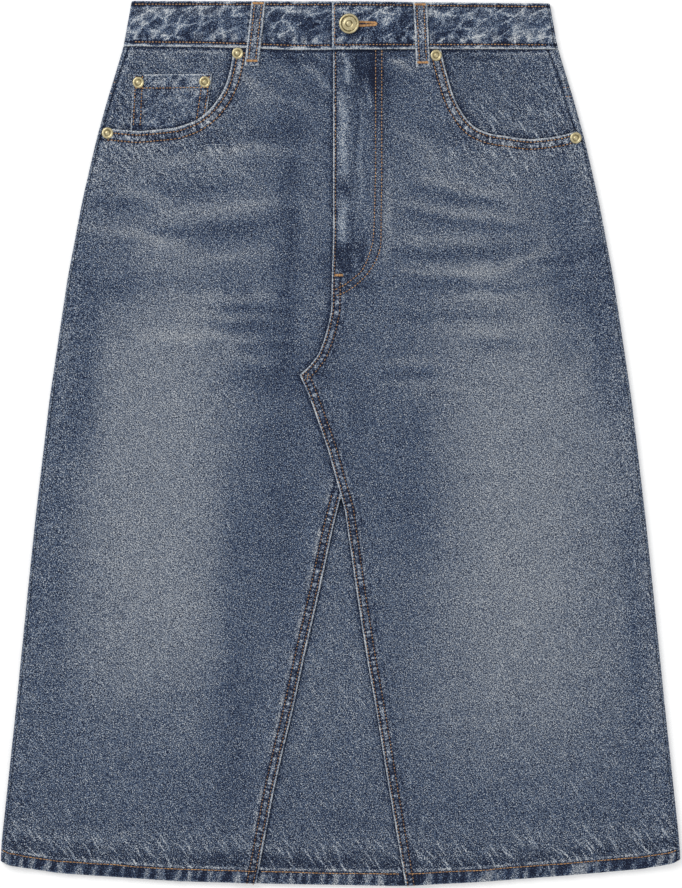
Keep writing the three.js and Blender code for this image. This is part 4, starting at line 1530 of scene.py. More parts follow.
@dataclass(frozen=True)
class Facing:
    """The denim seen inside a pocket mouth, running on under the panel."""

    name: str
    panel: FrontPanel
    inward: float

    def surface(self, x: Array, down: Array) -> Array:
        """Height of the facing's face."""
        seam = np.abs(x - Cut.side_seam(self.panel.side, down))
        return Lie.ground(x, down) + WALL - rolled(seam, 0.6)

    def build(self, denim: Material) -> Piece:
        """Builds the facing between waistband, side seam and the hidden edge under the mouth.

        Args:
            denim: the cloth's material.

        Returns:
            The facing.
        """
        side = self.panel.side
        seam, inner_edge = (lambda d: Cut.side_seam(side, d) - side * SEAM_GAP), (lambda d: 0 * d + self.inward)
        left, right = (seam, inner_edge) if side < 0 else (inner_edge, seam)
        columns = grid_lines(FACING_LINES, FACING_LINES, 78)
        rows = grid_lines(TOP_LINES, (0.0, 0.8), 52)
        x, down = grid_between(left, right, lambda v: Cut.waist(v) + SEAM_GAP, lambda v: 0 * v + FACING_END,
                               columns, rows)
        outer = to_xyz(x, down, self.surface(x, down))
        inner = below(outer, x, down, Lie.ground(x, down))
        inside, _ = self.panel.mouth().distance(x, down, step=4)
        inside = inside * side
        keep = np.maximum.reduce(corners(inside)) < 8
        low = down - Cut.waist(x)
        seam_off = np.abs(x - Cut.side_seam(side, down))
        # Painted shade: darker all over inside the pocket, the panel's shadow past the mouth's edge and the band's
        # shadow under the waist seam.
        shade = 11 + 34 * fade(-inside, 0.4, 2.6) + 24 * fade(-inside, 2.0, 9.0) + 72 * bell(low, 1.1, 1.2)
        under_band = 38 * bell(low, 4.0, 1.2) * (0.8 + 0.6 * Wash.ropes(x, down, 9, 8))
        tone = Wash.brightness(x, down) - shade + under_band + Wash.side_tone(seam_off, down)
        values = {
            "fade": to_fade_and_shade(tone),
            "wear": 0.40 * bell(seam_off, 3.0, 0.8),
            "crease": crease_where(x, down) + 0.4,
        }
        piece = shell(self.name, outer, inner, values, keep)
        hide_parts("pocket_facing_left" if side < 0 else "pocket_facing_right")
        return dress(piece, denim)


@dataclass(frozen=True)
class CoinPocket:
    """The small patch pocket on the left facing, hemmed at its top and running down under the panel."""

    name: str = "Coin_pocket"
    top: Edge = Edge(rows=(11.3,), worn=0.8, line=1.2, groove=60, ridge=6, rope=26, lift=0.6, seed=91)
    side: Edge = Edge(rows=(2.0, 7.6), worn=0.75, line=1.1, groove=58, ridge=8, rope=24, lift=0.4, seed=95)
    left: Curve = Curve(((61, -171.6), (112.5, -174.2)))
    right: Curve = Curve(((61, -106.7), (73, -107.9), (97, -111.5), (112, -115)))
    upper: Curve = Curve(((-180, 61.3), (-100, 60.3)))
    marbled: Grain = Grain(97)

    def offsets(self, x: Array, down: Array) -> tuple[Array, Array]:
        """Distances from the top hem's fold and from the nearer side fold."""
        return down - self.upper(x), np.minimum(x - self.left(down), self.right(down) - x)

    def surface(self, x: Array, down: Array) -> Array:
        """Height of the pocket's face.

        Args:
            x, down: the points.

        Returns:
            Heights.
        """
        top, side = self.offsets(x, down)
        side = np.maximum(side, 0)
        raised = np.maximum(self.top.rise(top, x), self.side.rise(side, down))
        return Lie.ground(x, down) + STEP + WALL + raised - rolled(top) - rolled(side)

    def build(self, denim: Material) -> Piece:
        """Builds the pocket.

        Args:
            denim: the cloth's material.

        Returns:
            The pocket.
        """
        columns = grid_lines(EDGE_LINES, EDGE_LINES, 44)
        rows = grid_lines(EDGE_LINES, (0.0, 1.0), 34)
        x, down = grid_between(self.left, self.right, self.upper, lambda v: 0 * v + COIN_END, columns, rows)
        top, side = self.offsets(x, down)
        side = np.maximum(side, 0)
        outer = to_xyz(x, down, self.surface(x, down))
        inner = below(outer, x, down, Lie.ground(x, down) + STEP)
        inside, _ = Cut.mouth_left.distance(x, down, step=4)
        tone = Wash.brightness(x, down) + self.top.tone(top, x) + self.side.tone(side, down)
        # The two terms on inside paint the shadow of the left pocket mouth's edge on the pocket.
        tone = tone - 7 + 18 * self.marbled(x, down, 6, 4) - 36 * fade(inside, 0.3, 2.6) - 12 * fade(inside, 2, 7)
        values = {
            "fade": to_fade_and_shade(tone),
            "wear": np.maximum(self.top.wear(top, x), self.side.wear(side, down)),
            "crease": 0.7,
            "marble": 0.55,
        }
        piece = shell(self.name, outer, inner, values)
        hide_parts("coin_pocket")
        return dress(piece, denim)


@dataclass(frozen=True)
class Gusset:
    """The long triangle let in between the legs, under both panels, hemmed with them."""

    name: str = "Front_gusset"
    hem: Edge = FrontPanel.hem

    def surface(self, x: Array, down: Array) -> Array:
        """Height of the gusset's face."""
        low = np.maximum(Cut.hem(x) - down, 0)
        return Lie.ground(x, down) + WALL + self.hem.rise(low, x) * 0.6 - rolled(low, 0.9)

    def build(self, denim: Material) -> Piece:
        """Builds the triangle, its long sides hidden under the panels.

        Args:
            denim: the cloth's material.

        Returns:
            The triangle.
        """
        lines = (0.0, 3.0, 6.5, 8.2, 8.8, 9.3, 9.9, 10.7, 11.8, 13.4)
        columns = grid_lines(lines, lines, 44)
        rows = grid_lines((0.0, 1.0), HEM_LINES, 168)
        x, down = grid_between(lambda d: Cut.gusset(d) - UNDERLAP, lambda d: Cut.centre(d) + UNDERLAP,
                               lambda v: 0 * v + GUSSET_TOP, Cut.hem, columns, rows)
        low = np.maximum(Cut.hem(x) - down, 0)
        outer = to_xyz(x, down, self.surface(x, down))
        inner = below(outer, x, down, Lie.ground(x, down))
        from_left, from_right = x - Cut.gusset(down), Cut.centre(down) - x
        tone = Wash.brightness(x, down) + self.hem.tone(low, x) + Wash.hem_tone(low, x)
        # Painted shadow of each panel's folded edge on the triangle beside it.
        for off in (from_left, from_right):
            tone = tone - 46 * fade(off, 0.7, 2.3) - 8 * fade(off, 2, 7)
        tone = tone + Wash.ropes_at(down, from_left, 13, 9) + Wash.ropes_at(down + 500, from_right, 13, 9)
        values = {
            "fade": to_fade_and_shade(tone),
            "wear": self.hem.wear(low, x),
            "crease": np.maximum(crease_where(x, down), 0.6),
        }
        piece = shell(self.name, outer, inner, values)
        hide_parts("front_gusset")
        return dress(piece, denim)


@dataclass(frozen=True)
class Back:
    """One half of the back from a cut to the next: flat on the surface, then over the side fold to its seam."""

    name: str
    node: str
    side: int
    yoke: bool

    def build(self, denim: Material) -> Piece:
        """Builds the piece as a strip of sections that run from the centre back round the side.

        Args:
            denim: the cloth's material.

        Returns:
            The piece.
        """
        arc = np.radians(np.linspace(-90, 90, 11)[1:-1])
        flat = np.linspace(0, 1, 36)
        over = np.array([0.0, 0.35, 0.7, 0.9, 1.0])
        ends = np.cumsum([len(flat), len(arc), len(over)])
        first, bend, last = slice(0, ends[0]), slice(ends[0], ends[1]), slice(ends[1], ends[2])
        share = np.linspace(0, 1, 16 if self.yoke else 190)[:, None]
        down = np.repeat(share, ends[2], axis=1)
        x, z, off_x, off_z = (np.zeros_like(down) for _ in range(4))
        for _ in range(4):
            top = Cut.waist(x) + SEAM_GAP if self.yoke else Cut.yoke(x) + 0.2
            bottom = Cut.yoke(x) - 0.1 if self.yoke else Cut.hem(x) - 0.05
            down = mix(top, bottom, share)
            middle = Cut.half_width(down) - SIDE_RADIUS
            reach = Cut.turn(self.side, down) - SIDE_RADIUS - SEAM_GAP
            x[:, first] = (SEAM_GAP + (middle[:, first] - SEAM_GAP) * flat) * self.side
            x[:, bend] = (middle[:, bend] + SIDE_RADIUS * np.cos(arc)) * self.side
            x[:, last] = (middle[:, last] - reach[:, last] * over) * self.side
        z[:, bend], z[:, last] = SIDE_RADIUS * (1 + np.sin(arc)), 2 * SIDE_RADIUS
        off_x[:, bend] = np.cos(arc) * self.side
        off_z[:, first], off_z[:, bend], off_z[:, last] = -1, np.sin(arc), 1
        seam = np.full(x.shape, 99.0)
        seam[:, last] = reach[:, last] * (1 - over)
        z = z - off_z * rolled(seam, 0.6) * 0.7
        outer = to_xyz(x, down, z)
        inner = to_xyz(x - off_x * WALL, down, z - off_z * WALL * (1 - 0.6 * rolled(seam, 0.6)))
        piece = shell(self.name, outer, inner, self.numbers(x, down, seam), flip=self.side > 0)
        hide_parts(self.node)
        return dress(piece, denim)

    @staticmethod
    def numbers(x: Array, down: Array, seam: Array) -> dict[str, Array | float]:
        """What the finish reads: a plain wash behind, the front's own wash and a sewn edge by the side seam with
        painted shade in it.

        Args:
            x, down: the points.
            seam: distance from the side seam, far off on the back.

        Returns:
            The named numbers.
        """
        shown = 0.1 + 0.9 * fade(down, 112, 150)
        tone = Wash.level(down) + 4 * Wash.patches(x + 900, down, 21, 12)
        for centre in (-150, 150):
            tone = tone + Wash.thigh(x, down, centre, 390, 74, 200, 24)
        # Painted shade in the side seam, strong by the pockets and faint below them.
        tone = mix(tone, Wash.brightness(x, down), fade(seam, 8, 12)) - 30 * shown * fade(seam, 0.2, 1.8)
        tone = tone + shown * 16 * bell(seam, 3.2, 1.2) + Wash.ropes_at(down + 700, np.minimum(seam, 20), 10, 9)
        return {"fade": to_fade_and_shade(tone), "wear": 0.5 * shown * bell(seam, 2.4, 0.9), "crease": 0.5}


class BandPart(IntEnum):
    """Where a column of the waistband's strip lies."""

    UNDER_END = 0
    LEFT_FOLD = 1
    BACK = 2
    RIGHT_FOLD = 3
    LAPPED_END = 4


@dataclass(frozen=True)
class Waistband:
    """The doubled band round the waist, its right end lapped over the left at the centre front."""

    name: str = "Waistband"
    lap_end: float = -7.0
    under_end: float = 37.0
    rise_from: float = 63.0
    rise_to: float = 41.0
    lap_rise: float = 2.5
    lower: Edge = Edge(rows=(3.8,), worn=1.0, line=1.6, ridge=12, rope=26, halo=10, lift=0.0, seed=111)
    upper: Edge = Edge(rows=(2.8,), worn=0.55, line=1.1, ridge=14, rope=22, halo=24, lift=0.0, seed=115)
    veins: Grain = Grain(117)

    def lapping(self, x: Array) -> Array:
        """What the lapped end is lifted by."""
        return self.lap_rise * fade(x, self.rise_to, self.rise_from)

    def face(self, x: Array, down: Array, lapped: Array) -> Array:
        """Height of the front face before its edges are rolled.

        Args:
            x, down: the points.
            lapped: 1 on the right half, which laps, 0 on the left half.

        Returns:
            Heights.
        """
        low, high = Cut.waist(x) - down, down - Cut.band_top(x)
        rumple = 0.22 * Lie.wrinkles(x, down, 15, 11) * fade(np.abs(x), 130, 165)
        ridge = 0.18 * fade(low, 8, 11) + 0.12 * fade(high, 5, 7)
        channel = 0.22 * (bell(low, self.lower.rows[0], 0.8) + bell(high, self.upper.rows[0], 0.8))
        pucker = 0.16 * Grain(119)(x + 0.7 * low, low, 5, 9) * fade(np.minimum(low, high), 5, 9)
        return BAND_TOP + self.lapping(x) * lapped + rumple + ridge - channel + pucker

    def tone(self, x: Array, down: Array) -> Array:
        """Brightness: dark band with slanting light veins, dark blotches and a light strip along its lower part.

        Args:
            x, down: the points.

        Returns:
            Brightness, 0 to 255.
        """
        low, high = Cut.waist(x) - down, down - Cut.band_top(x)
        blotch = self.veins(x + 500, down, 12, 9)
        beat = np.cos(2 * np.pi * (x / 10.4 + 0.7 * self.veins(x, 0 * x, 22)))
        spots = np.clip(0.3 + beat, 0, 1) * bell(low, 8.0, 3.2)
        tone = 81 + 22 * blotch + 38 * bell(low, 8.0, 4.4) + 18 * bell(high, 8.5, 3.5) - 70 * spots
        tone = tone + self.lower.tone(low, x) + self.upper.tone(high, x)
        tone = tone - 14 * bell(x, -14, 6) * bell(down, 18, 12) - 24 * bell(x, 44, 13) + 10 * bell(x, 115, 26)
        return tone + 3 * fade(np.abs(x + 60), 20, 60) - 16 * bell(np.hypot(x - 7, down - 19), 11, 4)

    @property
    def half(self) -> float:
        """x where the band's side folds begin, half way down it."""
        return Cut.half_width(20.0) - SIDE_RADIUS

    def columns(self) -> tuple[Array, Array]:
        """The strip's columns from its left end round the back to its lapped end.

        Returns:
            Where each lies, as x or as the angle round a fold, and its part of the band.
        """
        arc = np.radians(np.linspace(90, 270, 13)[1:-1])
        end = np.array([0.0, 0.15, 0.4, 0.8, 1.4, 2.2, 3.4])
        under = np.concatenate([self.under_end - end, np.linspace(self.under_end - 5, -self.half, 130)])
        lap = np.concatenate([np.linspace(self.half, self.lap_end + 5, 130), self.lap_end + end[::-1]])
        runs = (under, arc, np.linspace(-self.half, self.half, 60), arc, lap)
        return np.concatenate(runs)[None, :], np.repeat([part.value for part in BandPart], [len(run) for run in runs])

    def numbers(self, x: Array, down: Array, kind: Array) -> dict[str, Array | float]:
        """What the finish reads: fade with painted shade beside the lapped end, worn edges, marbling and the band's
        rows.

        Args:
            x, down: the points.
            kind: the part that each column belongs to.

        Returns:
            The named numbers.
        """
        end_off = np.where(kind == BandPart.LAPPED_END, np.maximum(x - self.lap_end, 0), 99)
        low, high = Cut.waist(x) - down, down - Cut.band_top(x)
        # Painted shadow of the lapped end on the under end just beside it.
        shaded_by_lap = (kind == BandPart.UNDER_END) & (x < self.lap_end)
        values = {
            "fade": to_fade_and_shade(self.tone(x, down) - 16 * fade(self.lap_end - x, 0.3, 4) * shaded_by_lap),
            "wear": np.maximum.reduce([self.lower.wear(low, x), self.upper.wear(high, x),
                                       0.75 * fade(end_off, 1.1, 2.6)]),
            "crease": 0.3,
            "marble": 1.0,
        }
        first = np.where(kind == BandPart.LAPPED_END, self.lap_end + 2.2, -171.0)
        values |= self.lower.sewn(low, x, first)
        values["far_mm"] = high - self.upper.rows[0]
        values["sewn"] = 1.0 * (kind != BandPart.BACK)
        values["ladder"] = 0.25 * values["sewn"]
        return values

    def build(self, denim: Material) -> Piece:
        """Builds the band as one strip: left end, left fold, back, right fold, lapped end.

        Args:
            denim: the cloth's material.

        Returns:
            The band.
        """
        place, kind = self.columns()
        on_front = np.isin(kind, (BandPart.UNDER_END, BandPart.LAPPED_END))
        on_fold = np.isin(kind, (BandPart.LEFT_FOLD, BandPart.RIGHT_FOLD))
        side = np.where(kind == BandPart.LEFT_FOLD, -1, 1)
        lines = EDGE_LINES[:13]
        share, shift = grid_lines(lines, lines, 16)
        down = mix(np.zeros_like(place), BAND_DEPTH, share[:, None]) + shift[:, None]
        for _ in range(3):
            grow = (Cut.half_width(down) - SIDE_RADIUS) / self.half
            flat = np.where(np.abs(place) > 70, place * grow, place)
            x = np.where(on_fold, side * (self.half * grow - SIDE_RADIUS * np.cos(place)), flat)
            down = mix(Cut.band_top(x), Cut.waist(x) - 0.05, share[:, None]) + shift[:, None]
        edge = np.minimum(down - Cut.band_top(x), Cut.waist(x) - 0.05 - down)
        edge = np.where(kind == BandPart.UNDER_END, np.minimum(edge, self.under_end - x), edge)
        edge = np.where(kind == BandPart.LAPPED_END, np.minimum(edge, x - self.lap_end), edge)
        thin = np.clip(BAND_WALL / 2 - rolled(edge, 0.95), 0.15, None)
        face = self.face(x, down, kind == BandPart.LAPPED_END)
        turn = np.where(on_fold, place, 0)
        out_x = np.where(on_fold, -side * np.cos(turn), 0)
        out_z = np.select([on_front, kind == BandPart.BACK], [1.0, -1.0], np.sin(turn))
        core = SIDE_RADIUS - BAND_WALL / 2
        centre_z = np.select([on_front, kind == BandPart.BACK], [face - BAND_WALL / 2, BAND_WALL / 2],
                             BAND_TOP / 2 + core * np.sin(turn))
        centre_x = np.where(on_fold, side * (self.half * grow - core * np.cos(turn)), x)
        outer = to_xyz(centre_x + out_x * thin, down, centre_z + out_z * thin)
        inner = to_xyz(centre_x - out_x * thin, down, centre_z - out_z * thin)
        piece = shell(self.name, outer, inner, self.numbers(x, down, kind), flip=True)
        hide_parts("waistband")
        return dress(piece, denim)


@dataclass(frozen=True)
class BeltLoop:
    """A belt loop: a narrow folded strip from the band's top edge to just below the band."""

    name: str
    node: str
    top: tuple[float, float]
    bottom: tuple[float, float]
    width: float = 11.6
    thick: float = 1.4
    bow: float = 0.8
    seed: int = 131

    def middle(self, down: Array) -> Array:
        """x of the strip's middle."""
        return np.interp(down, (self.top[1], self.bottom[1]), (self.top[0], self.bottom[0]))

    def surface(self, x: Array, down: Array) -> Array:
        """Height of the loop's face: bowed off the band, dropped on to the panel below it, rolled at its sides.

        Args:
            x, down: the points.

        Returns:
            Heights.
        """
        share = (down - self.top[1]) / (self.bottom[1] - self.top[1])
        across = np.abs(x - self.middle(down))
        base = BAND_TOP + 0.2 - 0.75 * (1 - fade(down, 42, 48))
        ends = rolled(np.minimum(down - self.top[1], self.bottom[1] - down), 1.1)
        ridge = 0.16 * bell(across, 4.6, 1.0) + 0.1 * Grain(self.seed)(down, across, 5, 4)
        bowed = self.bow * np.sin(np.pi * np.clip(share, 0, 1)) ** 0.7
        return base + self.thick + bowed + ridge - rolled(self.width / 2 - across, 1.0) - ends

    def build(self, denim: Material) -> Piece:
        """Builds the loop.

        Args:
            denim: the cloth's material.

        Returns:
            The loop.
        """
        across = np.concatenate([-self.width / 2 + np.array(EDGE_LINES[:9]), np.linspace(-2, 2, 6),
                                 self.width / 2 - np.array(EDGE_LINES[:9])[::-1]])
        share, shift = grid_lines(EDGE_LINES[:8], EDGE_LINES[:8], 46)
        down = mix(self.top[1], self.bottom[1], share[:, None]) + shift[:, None] + 0 * across
        x = self.middle(down) + across
        outer = to_xyz(x, down, self.surface(x, down))
        off = self.width / 2 - np.abs(across)
        inner = outer - np.array([0, 0, 1]) * (self.thick - 0.9 * rolled(off, 1.0))[:, None]
        patch = Grain(self.seed + 1)(down, x, 4.2, 2.2)
        low_end = self.bottom[1] - down
        # The dark lines at 2.9 mm are unfaded indigo with painted shade of the stitch grooves.
        tone = 88 + 16 * patch + 16 * bell(off, 5.8, 2.0) - 46 * bell(off, 2.9, 0.9)
        tone = tone + 9 * Grain(self.seed)(down, x, 2.4, 3)
        wear = np.maximum(0.85 * fade(off, 0.8, 2.0) * (1 + 0.35 * patch), 0.6 * fade(low_end, 0.9, 2.1))
        values = {
            "fade": to_fade_and_shade(tone),
            "wear": np.maximum(wear, 0.5 * fade(down - self.top[1], 0.6, 1.6)),
            "crease": 0.6,
            "marble": 0.4,
        }
        piece = shell(self.name, outer, inner, values)
        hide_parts(self.node)
        return dress(piece, denim)


@dataclass(frozen=True)
class Turned:
    """A round metal part turned from a profile of (radius, height) points, outside going up and in."""

    name: str
    node: str
    centre: tuple[float, float]
    base: float
    profile: Points
    knurl: float = 0.0
    knurl_from: float = 0.0
    knurl_to: float = 0.0
    grooves: tuple[float, ...] = ()
    sides: int = 72

    def build(self, brass: Material) -> Piece:
        """Spins the profile, adds radial ribs between two radii and caps both poles.

        Args:
            brass: the metal.

        Returns:
            The part.
        """
        rows = np.array(self.profile)
        turn = np.arange(self.sides) * 2 * np.pi / self.sides
        radius, height = rows[:, 0][:, None], rows[:, 1][:, None]
        middle = (self.knurl_from + self.knurl_to) / 2
        ribbed = fade(np.abs(radius - middle), 0, (self.knurl_to - self.knurl_from) / 2)
        up = self.base + height + self.knurl * ribbed * (height > 1) * np.cos(self.sides / 4 * turn)
        points = to_xyz(self.centre[0] + radius * np.cos(turn), self.centre[1] - radius * np.sin(turn), up)
        fan = np.arange(1, self.sides - 1, 2)
        cap = np.column_stack([0 * fan, fan, fan + 1, (fan + 2) % self.sides])
        faces = tube(len(points), self.sides, cap)
        dull = sum((bell(radius, groove, 0.5) for groove in self.grooves), 0 * radius) + 0 * turn
        piece = new_object(self.name, points.reshape(-1, 3), faces, {"tint": -0.6 * dull.ravel()})
        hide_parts(self.node)
        return dress(piece, brass)


BUTTON = ((0.4, 0.0), (1.7, 0.0), (1.7, 2.8), (7.4, 2.8), (8.0, 3.0), (8.35, 3.5), (8.4, 4.0), (8.25, 4.5),
          (7.9, 4.9), (7.4, 5.12), (6.9, 5.1), (6.5, 4.88), (6.3, 4.62), (6.1, 4.5), (5.4, 4.5), (4.7, 4.5),
          (4.4, 4.58), (4.15, 4.82), (3.8, 4.98), (3.4, 5.02), (3.0, 4.92), (2.7, 4.78), (2.2, 4.76), (1.7, 4.86),
          (1.0, 4.98), (0.3, 5.02))
RIVET = ((0.3, 0.0), (4.6, 0.0), (4.75, 0.2), (4.7, 0.55), (4.4, 0.9), (3.9, 1.08), (3.4, 1.06), (2.9, 0.86),
         (2.4, 0.72), (1.9, 0.72), (1.65, 0.85), (1.5, 1.15), (1.2, 1.34), (0.7, 1.4), (0.2, 1.4))


@dataclass(frozen=True)
class Stitching:
    """Rows of topstitches in one thread, all in one mesh."""

    name: str
    seed: int
    radius: float = 0.37
    sides: int = 6
    batches: list[tuple[Array, Array, Array]] = field(default_factory=list)

    def row(self, path: Path, offset: float, height: HeightAt, start: float = 0.0, end: float | None = None,
            pitch: float = STITCH_PITCH, fill: float = 0.32) -> None:
        """Adds a running row.

        Args:
            path: the line that the row follows.
            offset: distance to the right of the path.
            height: height of the cloth's face.
            start: arc length of the first stitch.
            end: arc length past the last stitch, or None for the path's end.
            pitch: from one stitch to the next.
            fill: half a stitch's length as a share of the pitch.
        """
        rng = np.random.default_rng(self.seed + len(self.batches))
        middles = np.arange(start + pitch / 2, end or path.length, pitch)
        middles = middles + rng.uniform(-0.12, 0.12, len(middles))
        half = pitch * rng.uniform(fill - 0.03, fill + 0.03, len(middles))
        sway = offset + rng.uniform(-0.1, 0.1, len(middles))
        places = [path.at(middles + k * half, sway) for k in (-1, 0, 1)]
        self.put(places, height, 0.12)

    def bar(self, path: Path, height: HeightAt, reach: float = 1.0, pitch: float = 0.62) -> None:
        """Adds a bartack or purl: close stitches across a line.

        Args:
            path: the line that the bar follows.
            height: height of the cloth's face.
            reach: half the length of each stitch.
            pitch: from one stitch to the next.
        """
        rng = np.random.default_rng(self.seed + 50 + len(self.batches))
        middles = np.arange(pitch / 2, path.length, pitch)
        reaches = reach * rng.uniform(0.85, 1.1, len(middles))
        places = [path.at(middles + 0.2 * k, k * reaches) for k in (-1, 0, 1)]
        self.put(places, height, 0.3)

    def put(self, places: list[Array], height: HeightAt, lift: float) -> None:
        """Stores stitches by their start, middle and end on the cloth.

        Args:
            places: (x, down) rows of the starts, middles and ends.
            height: height of the cloth's face.
            lift: how far the thread's middle stands out of it.
        """
        low, middle, high = (to_xyz(p[:, 0], p[:, 1], height(p[:, 0], p[:, 1])) for p in places)
        middle = (low + high) / 2 * 0.5 + middle * 0.5
        up = np.array([0, 0, 1.0])
        self.batches.append((low + up * (lift - 0.22), middle + up * (lift + 0.05), high + up * (lift - 0.22)))

    def build(self, thread: Material) -> Piece:
        """Builds every stitch as a six-sided bead of five rings on its bowed line.

        Args:
            thread: the thread's material.

        Returns:
            All stitches as one object.
        """
        low, middle, high = (np.concatenate(part) for part in zip(*self.batches))
        along = np.array([-0.5, -0.38, 0.0, 0.38, 0.5])
        radii = self.radius * np.array([0.35, 0.85, 1.0, 0.85, 0.35])
        share = (along + 0.5)[None, :, None]
        bowed = low[:, None] * (1 - share) ** 2 + high[:, None] * share**2
        bowed = bowed + 2 * share * (1 - share) * (2 * middle - (low + high) / 2)[:, None]
        run = (high - low) / np.maximum(np.linalg.norm(high - low, axis=1)[:, None], 1e-6)
        side = np.column_stack([-run[:, 1], run[:, 0], 0 * run[:, 0]])
        side /= np.maximum(np.linalg.norm(side, axis=1)[:, None], 1e-6)
        lift = np.cross(run, side)
        turn = np.arange(self.sides) * 2 * np.pi / self.sides
        ring = side[:, None] * np.cos(turn)[None, :, None] + lift[:, None] * np.sin(turn)[None, :, None]
        points = bowed[:, :, None] + radii[None, :, None, None] * ring[:, None]
        count, rings = len(low), len(along)
        faces = tube(rings, self.sides, np.array([[0, 1, 2, 3], [0, 3, 4, 5]]))
        faces = (faces[None] + (np.arange(count) * rings * self.sides)[:, None, None]).reshape(-1, 4)
        tint = np.random.default_rng(self.seed).uniform(0.1, 0.9, count)
        values = {"tint": np.repeat(tint, rings * self.sides)}
        piece = new_object(self.name, points.reshape(-1, 3), faces, values)
        return dress(piece, thread)


def line(*points: tuple[float, float]) -> Path:
    """A path through photo points."""
    return Path(from_photo(points))


class Studio:
    """Pale floor, soft overhead light and the photo's straight-down camera."""

    distance = 4.0
    image = (682, 888)
    middle = (0.0004, -0.0004)

    def floor(self) -> None:
        """A plain pale floor just under the skirt."""
        points = np.array([[-3000, 3000, -0.4], [-3000, -3000, -0.4], [3000, -3000, -0.4], [3000, 3000, -0.4]], float)
        floor = new_object("Floor", points, np.array([[0, 1, 2, 3]]), {})
        s = Shading("pale_floor")
        s.surface(Base_Color=(0.93, 0.93, 0.93, 1), Roughness=1.0, Specular_IOR_Level=0.0,
                  Emission_Color=(1, 1, 1, 1), Emission_Strength=0.22)
        floor.data.materials.append(s.material)

    def light(self) -> None:
        """An even white sky, a broad key from the upper left and the view's plain colours."""
        scene = bpy.context.scene
        scene.view_settings.view_transform = "Standard"
        scene.view_settings.look = "None"
        world = bpy.data.worlds.new("sky")
        world.use_nodes = True
        sky = world.node_tree.nodes["Background"].inputs
        sky["Color"].default_value = (1, 1, 1, 1)
        sky["Strength"].default_value = 0.62
        scene.world = world
        for name, place, turn, size, power in (
            ("Key", (-1.5, 1.3, 2.0), (-0.62, -0.55, 0.0), 1.6, 34.0),
            ("Fill", (1.4, -0.9, 2.4), (0.38, 0.5, 0.0), 2.4, 10.0),
        ):
            data = bpy.data.lights.new(name, "AREA")
            data.shape, data.size, data.energy = "SQUARE", size, power
            lamp = bpy.data.objects.new(name, data)
            lamp.location, lamp.rotation_euler = place, turn
            bpy.context.collection.objects.link(lamp)

    def camera(self) -> None:
        """The photo's camera: straight above, far off, upright."""
        data = bpy.data.cameras.new("Camera")
        data.sensor_fit, data.sensor_height = "VERTICAL", 36.0
        data.lens = 36.0 * self.distance / (self.image[1] * PHOTO_SCALE * MM)
        data.dof.use_dof = False
        camera = bpy.data.objects.new("Camera", data)
        camera.location = (self.middle[0], self.middle[1], self.distance)
        bpy.context.collection.objects.link(camera)
        bpy.context.scene.camera = camera


